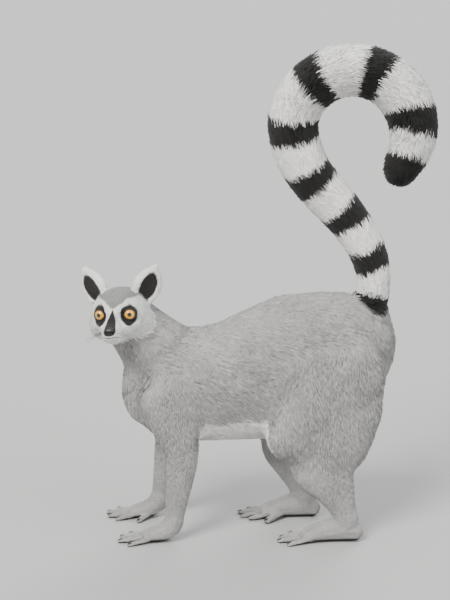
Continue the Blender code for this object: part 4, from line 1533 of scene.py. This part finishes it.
class OBJECT_OT_lemur_nails(bpy.types.Operator):
    """Make the nails of the fingers and toes"""

    bl_idname = "object.lemur_nails"
    bl_label = "Nails"

    # Of each digit: how far it turns inward in degrees, its length and thickness, and where it starts
    # (back and outward), in millimetres.
    DIGITS = {
        "hand": (
            (52, 21.1, 3.7, 18, -10), (20, 25.8, 3.6, 2, -9.5), (6, 31.3, 3.7, -1, -3), (-8, 34, 3.7, -1, 4),
            (-25, 27.9, 3.5, 3, 10.5),
        ),
        "foot": (
            (46, 29.2, 4.8, 20, -8), (16, 24.5, 3.7, 2, -10), (5, 30.6, 3.8, -1, -3), (-6, 34, 3.9, -1, 4.5),
            (-20, 28.6, 3.7, 3, 11.5),
        ),
    }
    SPREAD = 46.0  # from the middle plane to a paw's middle, in millimetres
    LONGEST = 3
    CLAW = ("foot", 1)  # the toe that has a narrow upright claw in place of a nail
    PAW_TOP = 30 * MM
    LENGTHWISE, ROUND = 9, 14  # points of a nail
    BEHIND = 4.4  # how far a nail starts behind the end of its digit, in millimetres

    def execute(self, context):
        self.paws = part_of_skin(WORK["points"][:, 2] < self.PAW_TOP)
        middle = sum(node_middle(f"hand_{side}")[1] for side in SIDES) / 2
        for part, digits in self.DIGITS.items():
            for side, sign in SIGNS.items():
                outside = -sign  # the left side is toward -Y
                inward, length, thick, back, _ = digits[self.LONGEST]
                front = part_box(f"{part}_{side}")[0].x
                knuckles = front + (thick + length * math.cos(math.radians(inward)) - back) * MM
                nails = []
                for index, (inward, length, thick, back, outward) in enumerate(digits):
                    turn = math.radians(inward)
                    along = np.array([-math.cos(turn), -math.sin(turn) * outside, 0.0])
                    beside = middle + (self.SPREAD + outward) * outside * MM
                    root = np.array([knuckles + back * MM, beside, 0.0])
                    claw = (part, index) == self.CLAW
                    nails.append(self.nail(root + along * length * MM, along, thick, claw))
                name = f"nails_{part}_{side}"
                mesh = mesh_from(name, *joined(nails))
                paint(mesh, linear(colours().nail))
                settled(name, mesh, bare_material())
        return {"FINISHED"}

    def height(self, place):
        """How high the skin is there in millimetres, or nothing beyond the end of the digit."""
        hit = self.paws.ray_cast(Vector((place[0], place[1], 40 * MM)), Vector((0, 0, -1)))[0]
        return None if hit is None else hit.z / MM

    def nail(self, near_tip, along, thick, claw):
        """A thin curved plate over the end of one digit, or a claw."""
        found = []
        for step in np.arange(-6, 6, 0.25):
            high = self.height(near_tip + along * step * MM)
            if high is not None and high > 0.45 * thick:
                found.append((step, high))
        end = found[-1][0]
        before = [high for step, high in found if step <= end - 4.2]
        start_high = (before[-1] if before else found[0][1]) + 0.55
        points = self.plate(near_tip + along * end * MM, along, thick, start_high, claw)
        count, ring = self.LENGTHWISE, self.ROUND
        faces = []
        for k in range(ring):
            after = (k + 1) % ring
            for i in range(0, (count - 1) * ring, ring):
                faces += [(i + k, i + after, i + after + ring), (i + k, i + after + ring, i + k + ring)]
            last = (count - 1) * ring
            faces += [(count * ring, after, k), (count * ring + 1, last + k, last + after)]
        faces = np.array(faces)
        return points, outward_faces(points, faces, points.mean(0))

    def plate(self, tip, along, thick, start_high, claw):
        """A nail's points: rings from behind the digit's end to beyond it, and the middle of each end."""
        across, up = np.array([-along[1], along[0], 0.0]), np.array([0, 0, 1.0])
        nail, upright = (0.47 * thick, 0.5, 0.0, 0.36, 1.0), (1.0, 2.0, 1.5, 0.55, 1.6)
        wide, reach, lift, narrowing, stout = upright if claw else nail
        end_high = 1.12 * thick
        rows = []
        for share in np.arange(self.LENGTHWISE) / (self.LENGTHWISE - 1):
            ahead = -self.BEHIND + (self.BEHIND + reach) * share
            bow = lift * math.sin(math.pi * share**0.8) * 0.8
            high = start_high + (end_high - start_high) * share**1.7 + bow
            half = wide * (0.86 + 0.3 * share - narrowing * share**3)
            flat = 0.30 * (1 - 0.35 * share) * stout
            for spin in np.arange(self.ROUND) * 2 * math.pi / self.ROUND:
                drop = 0.22 * wide * math.cos(spin) ** 2
                offset = across * half * math.cos(spin) + up * (flat * math.sin(spin) - drop)
                rows.append(tip * np.array([1, 1, 0]) + (along * ahead + up * high + offset) * MM)
        back, front = np.array(rows).reshape(self.LENGTHWISE, self.ROUND, 3)[[0, -1]].mean(1)
        rows += [back - along * 0.4 * MM, front + (along * 0.35 - up * 0.15) * MM]
        return np.array(rows)


# ---------------------------------------------------------------- the stage
class OBJECT_OT_lemur_stage(bpy.types.Operator):
    """Make the floor, the lights and the camera"""

    bl_idname = "object.lemur_stage"
    bl_label = "Stage"
    FLOOR_RADIUS, FLOOR_DROP = 30.0, 0.0002  # in metres; the floor lies just under the paws
    SENSOR = 24.0  # the height of the camera's film, in millimetres

    # Of each light: its name, where it shines from, how wide it looks in degrees, its strength, its colour.
    LIGHTS = (
        ("key", (-0.9, -1.5, 1.7), 24, 3.5, (1.0, 0.99, 0.975)),
        ("fill", (1.7, -1.0, 0.9), 40, 0.9, (0.96, 0.98, 1.0)),
        ("back", (0.5, 1.6, 1.3), 30, 1.5, (1.0, 1.0, 1.0)),
    )

    def execute(self, context):
        self.floor()
        self.lights()
        self.camera()
        return {"FINISHED"}

    def floor(self):
        shape = bmesh.new()
        bmesh.ops.create_circle(shape, cap_ends=True, radius=self.FLOOR_RADIUS, segments=96)
        mesh = bpy.data.meshes.new("floor")
        shape.to_mesh(mesh)
        shape.free()
        floor = new_object("floor", mesh)
        floor.location.z = -self.FLOOR_DROP
        material = bpy.data.materials.new("floor_paper")
        tree, shader = nodes_of(material)
        shader.inputs["Base Color"].default_value = (*linear(colours().floor), 1)
        bumped(tree, shader, 60.0, 0.05, 0.001)
        shader.inputs["Roughness"].default_value = 0.9
        shader.inputs["Specular IOR Level"].default_value = 0.1
        mesh.materials.append(material)
        return floor

    def lights(self):
        for name, place, spread, power, colour in self.LIGHTS:
            light = bpy.data.lights.new(name, "SUN")
            light.angle = math.radians(spread)
            light.energy = power
            light.color = colour
            lamp = new_object(name, light)
            lamp.location = place
            lamp.rotation_euler = (-Vector(place)).to_track_quat("-Z", "Y").to_euler()
        world = bpy.data.worlds.new("studio")
        world.use_nodes = True
        background = world.node_tree.nodes["Background"]
        background.inputs["Color"].default_value = (0.90, 0.905, 0.915, 1)
        background.inputs["Strength"].default_value = 1.0
        bpy.context.scene.world = world

    def camera(self):
        chosen = bpy.context.scene.lemur_stage
        lens = bpy.data.cameras.new("camera")
        lens.sensor_fit = "VERTICAL"
        lens.sensor_height = self.SENSOR
        lens.lens = self.SENSOR * chosen.distance / chosen.field
        lens.clip_end = 100
        camera = new_object("camera", lens)
        back = Vector((0, -math.cos(chosen.height), math.sin(chosen.height)))
        camera.location = Vector((chosen.across, 0.0, chosen.middle)) + back * chosen.distance
        camera.rotation_euler = (-back).to_track_quat("-Z", "Y").to_euler()
        bpy.context.scene.camera = camera


# ---------------------------------------------------------------- panel and registration
STEPS = (
    OBJECT_OT_lemur_skin,
    OBJECT_OT_lemur_eyes,
    OBJECT_OT_lemur_nose,
    OBJECT_OT_lemur_mouth,
    OBJECT_OT_lemur_nails,
    OBJECT_OT_lemur_body_coat,
    OBJECT_OT_lemur_limb_coat,
    OBJECT_OT_lemur_tail_coat,
    OBJECT_OT_lemur_head_coat,
    OBJECT_OT_lemur_stage,
)


class VIEW3D_PT_lemur(bpy.types.Panel):
    """The steps that build the model, with the sizes and colours that they use"""

    bl_label = "Lemur"
    bl_idname = "VIEW3D_PT_lemur"
    bl_space_type = "VIEW_3D"
    bl_region_type = "UI"
    bl_category = "Lemur"

    def draw(self, context):
        for group in ("lemur_sizes", "lemur_colours", "lemur_stage"):
            settings = getattr(context.scene, group)
            box = self.layout.box()
            for name in settings.bl_rna.properties.keys():
                if name not in ("rna_type", "name"):
                    box.prop(settings, name)
        for step in STEPS:
            self.layout.operator(step.bl_idname)


GROUPS = {"lemur_sizes": LemurSizes, "lemur_colours": LemurColours, "lemur_stage": LemurStage}
CLASSES = (*GROUPS.values(), *STEPS, VIEW3D_PT_lemur)


def register():
    for cls in CLASSES:
        bpy.utils.register_class(cls)
    for name, group in GROUPS.items():
        setattr(bpy.types.Scene, name, PointerProperty(type=group))


def unregister():
    for name in GROUPS:
        delattr(bpy.types.Scene, name)
    for cls in reversed(CLASSES):
        bpy.utils.unregister_class(cls)


def main():
    register()
    for step in STEPS:
        area, name = step.bl_idname.split(".")
        getattr(getattr(bpy.ops, area), name)()


if __name__ == "__main__":
    main()
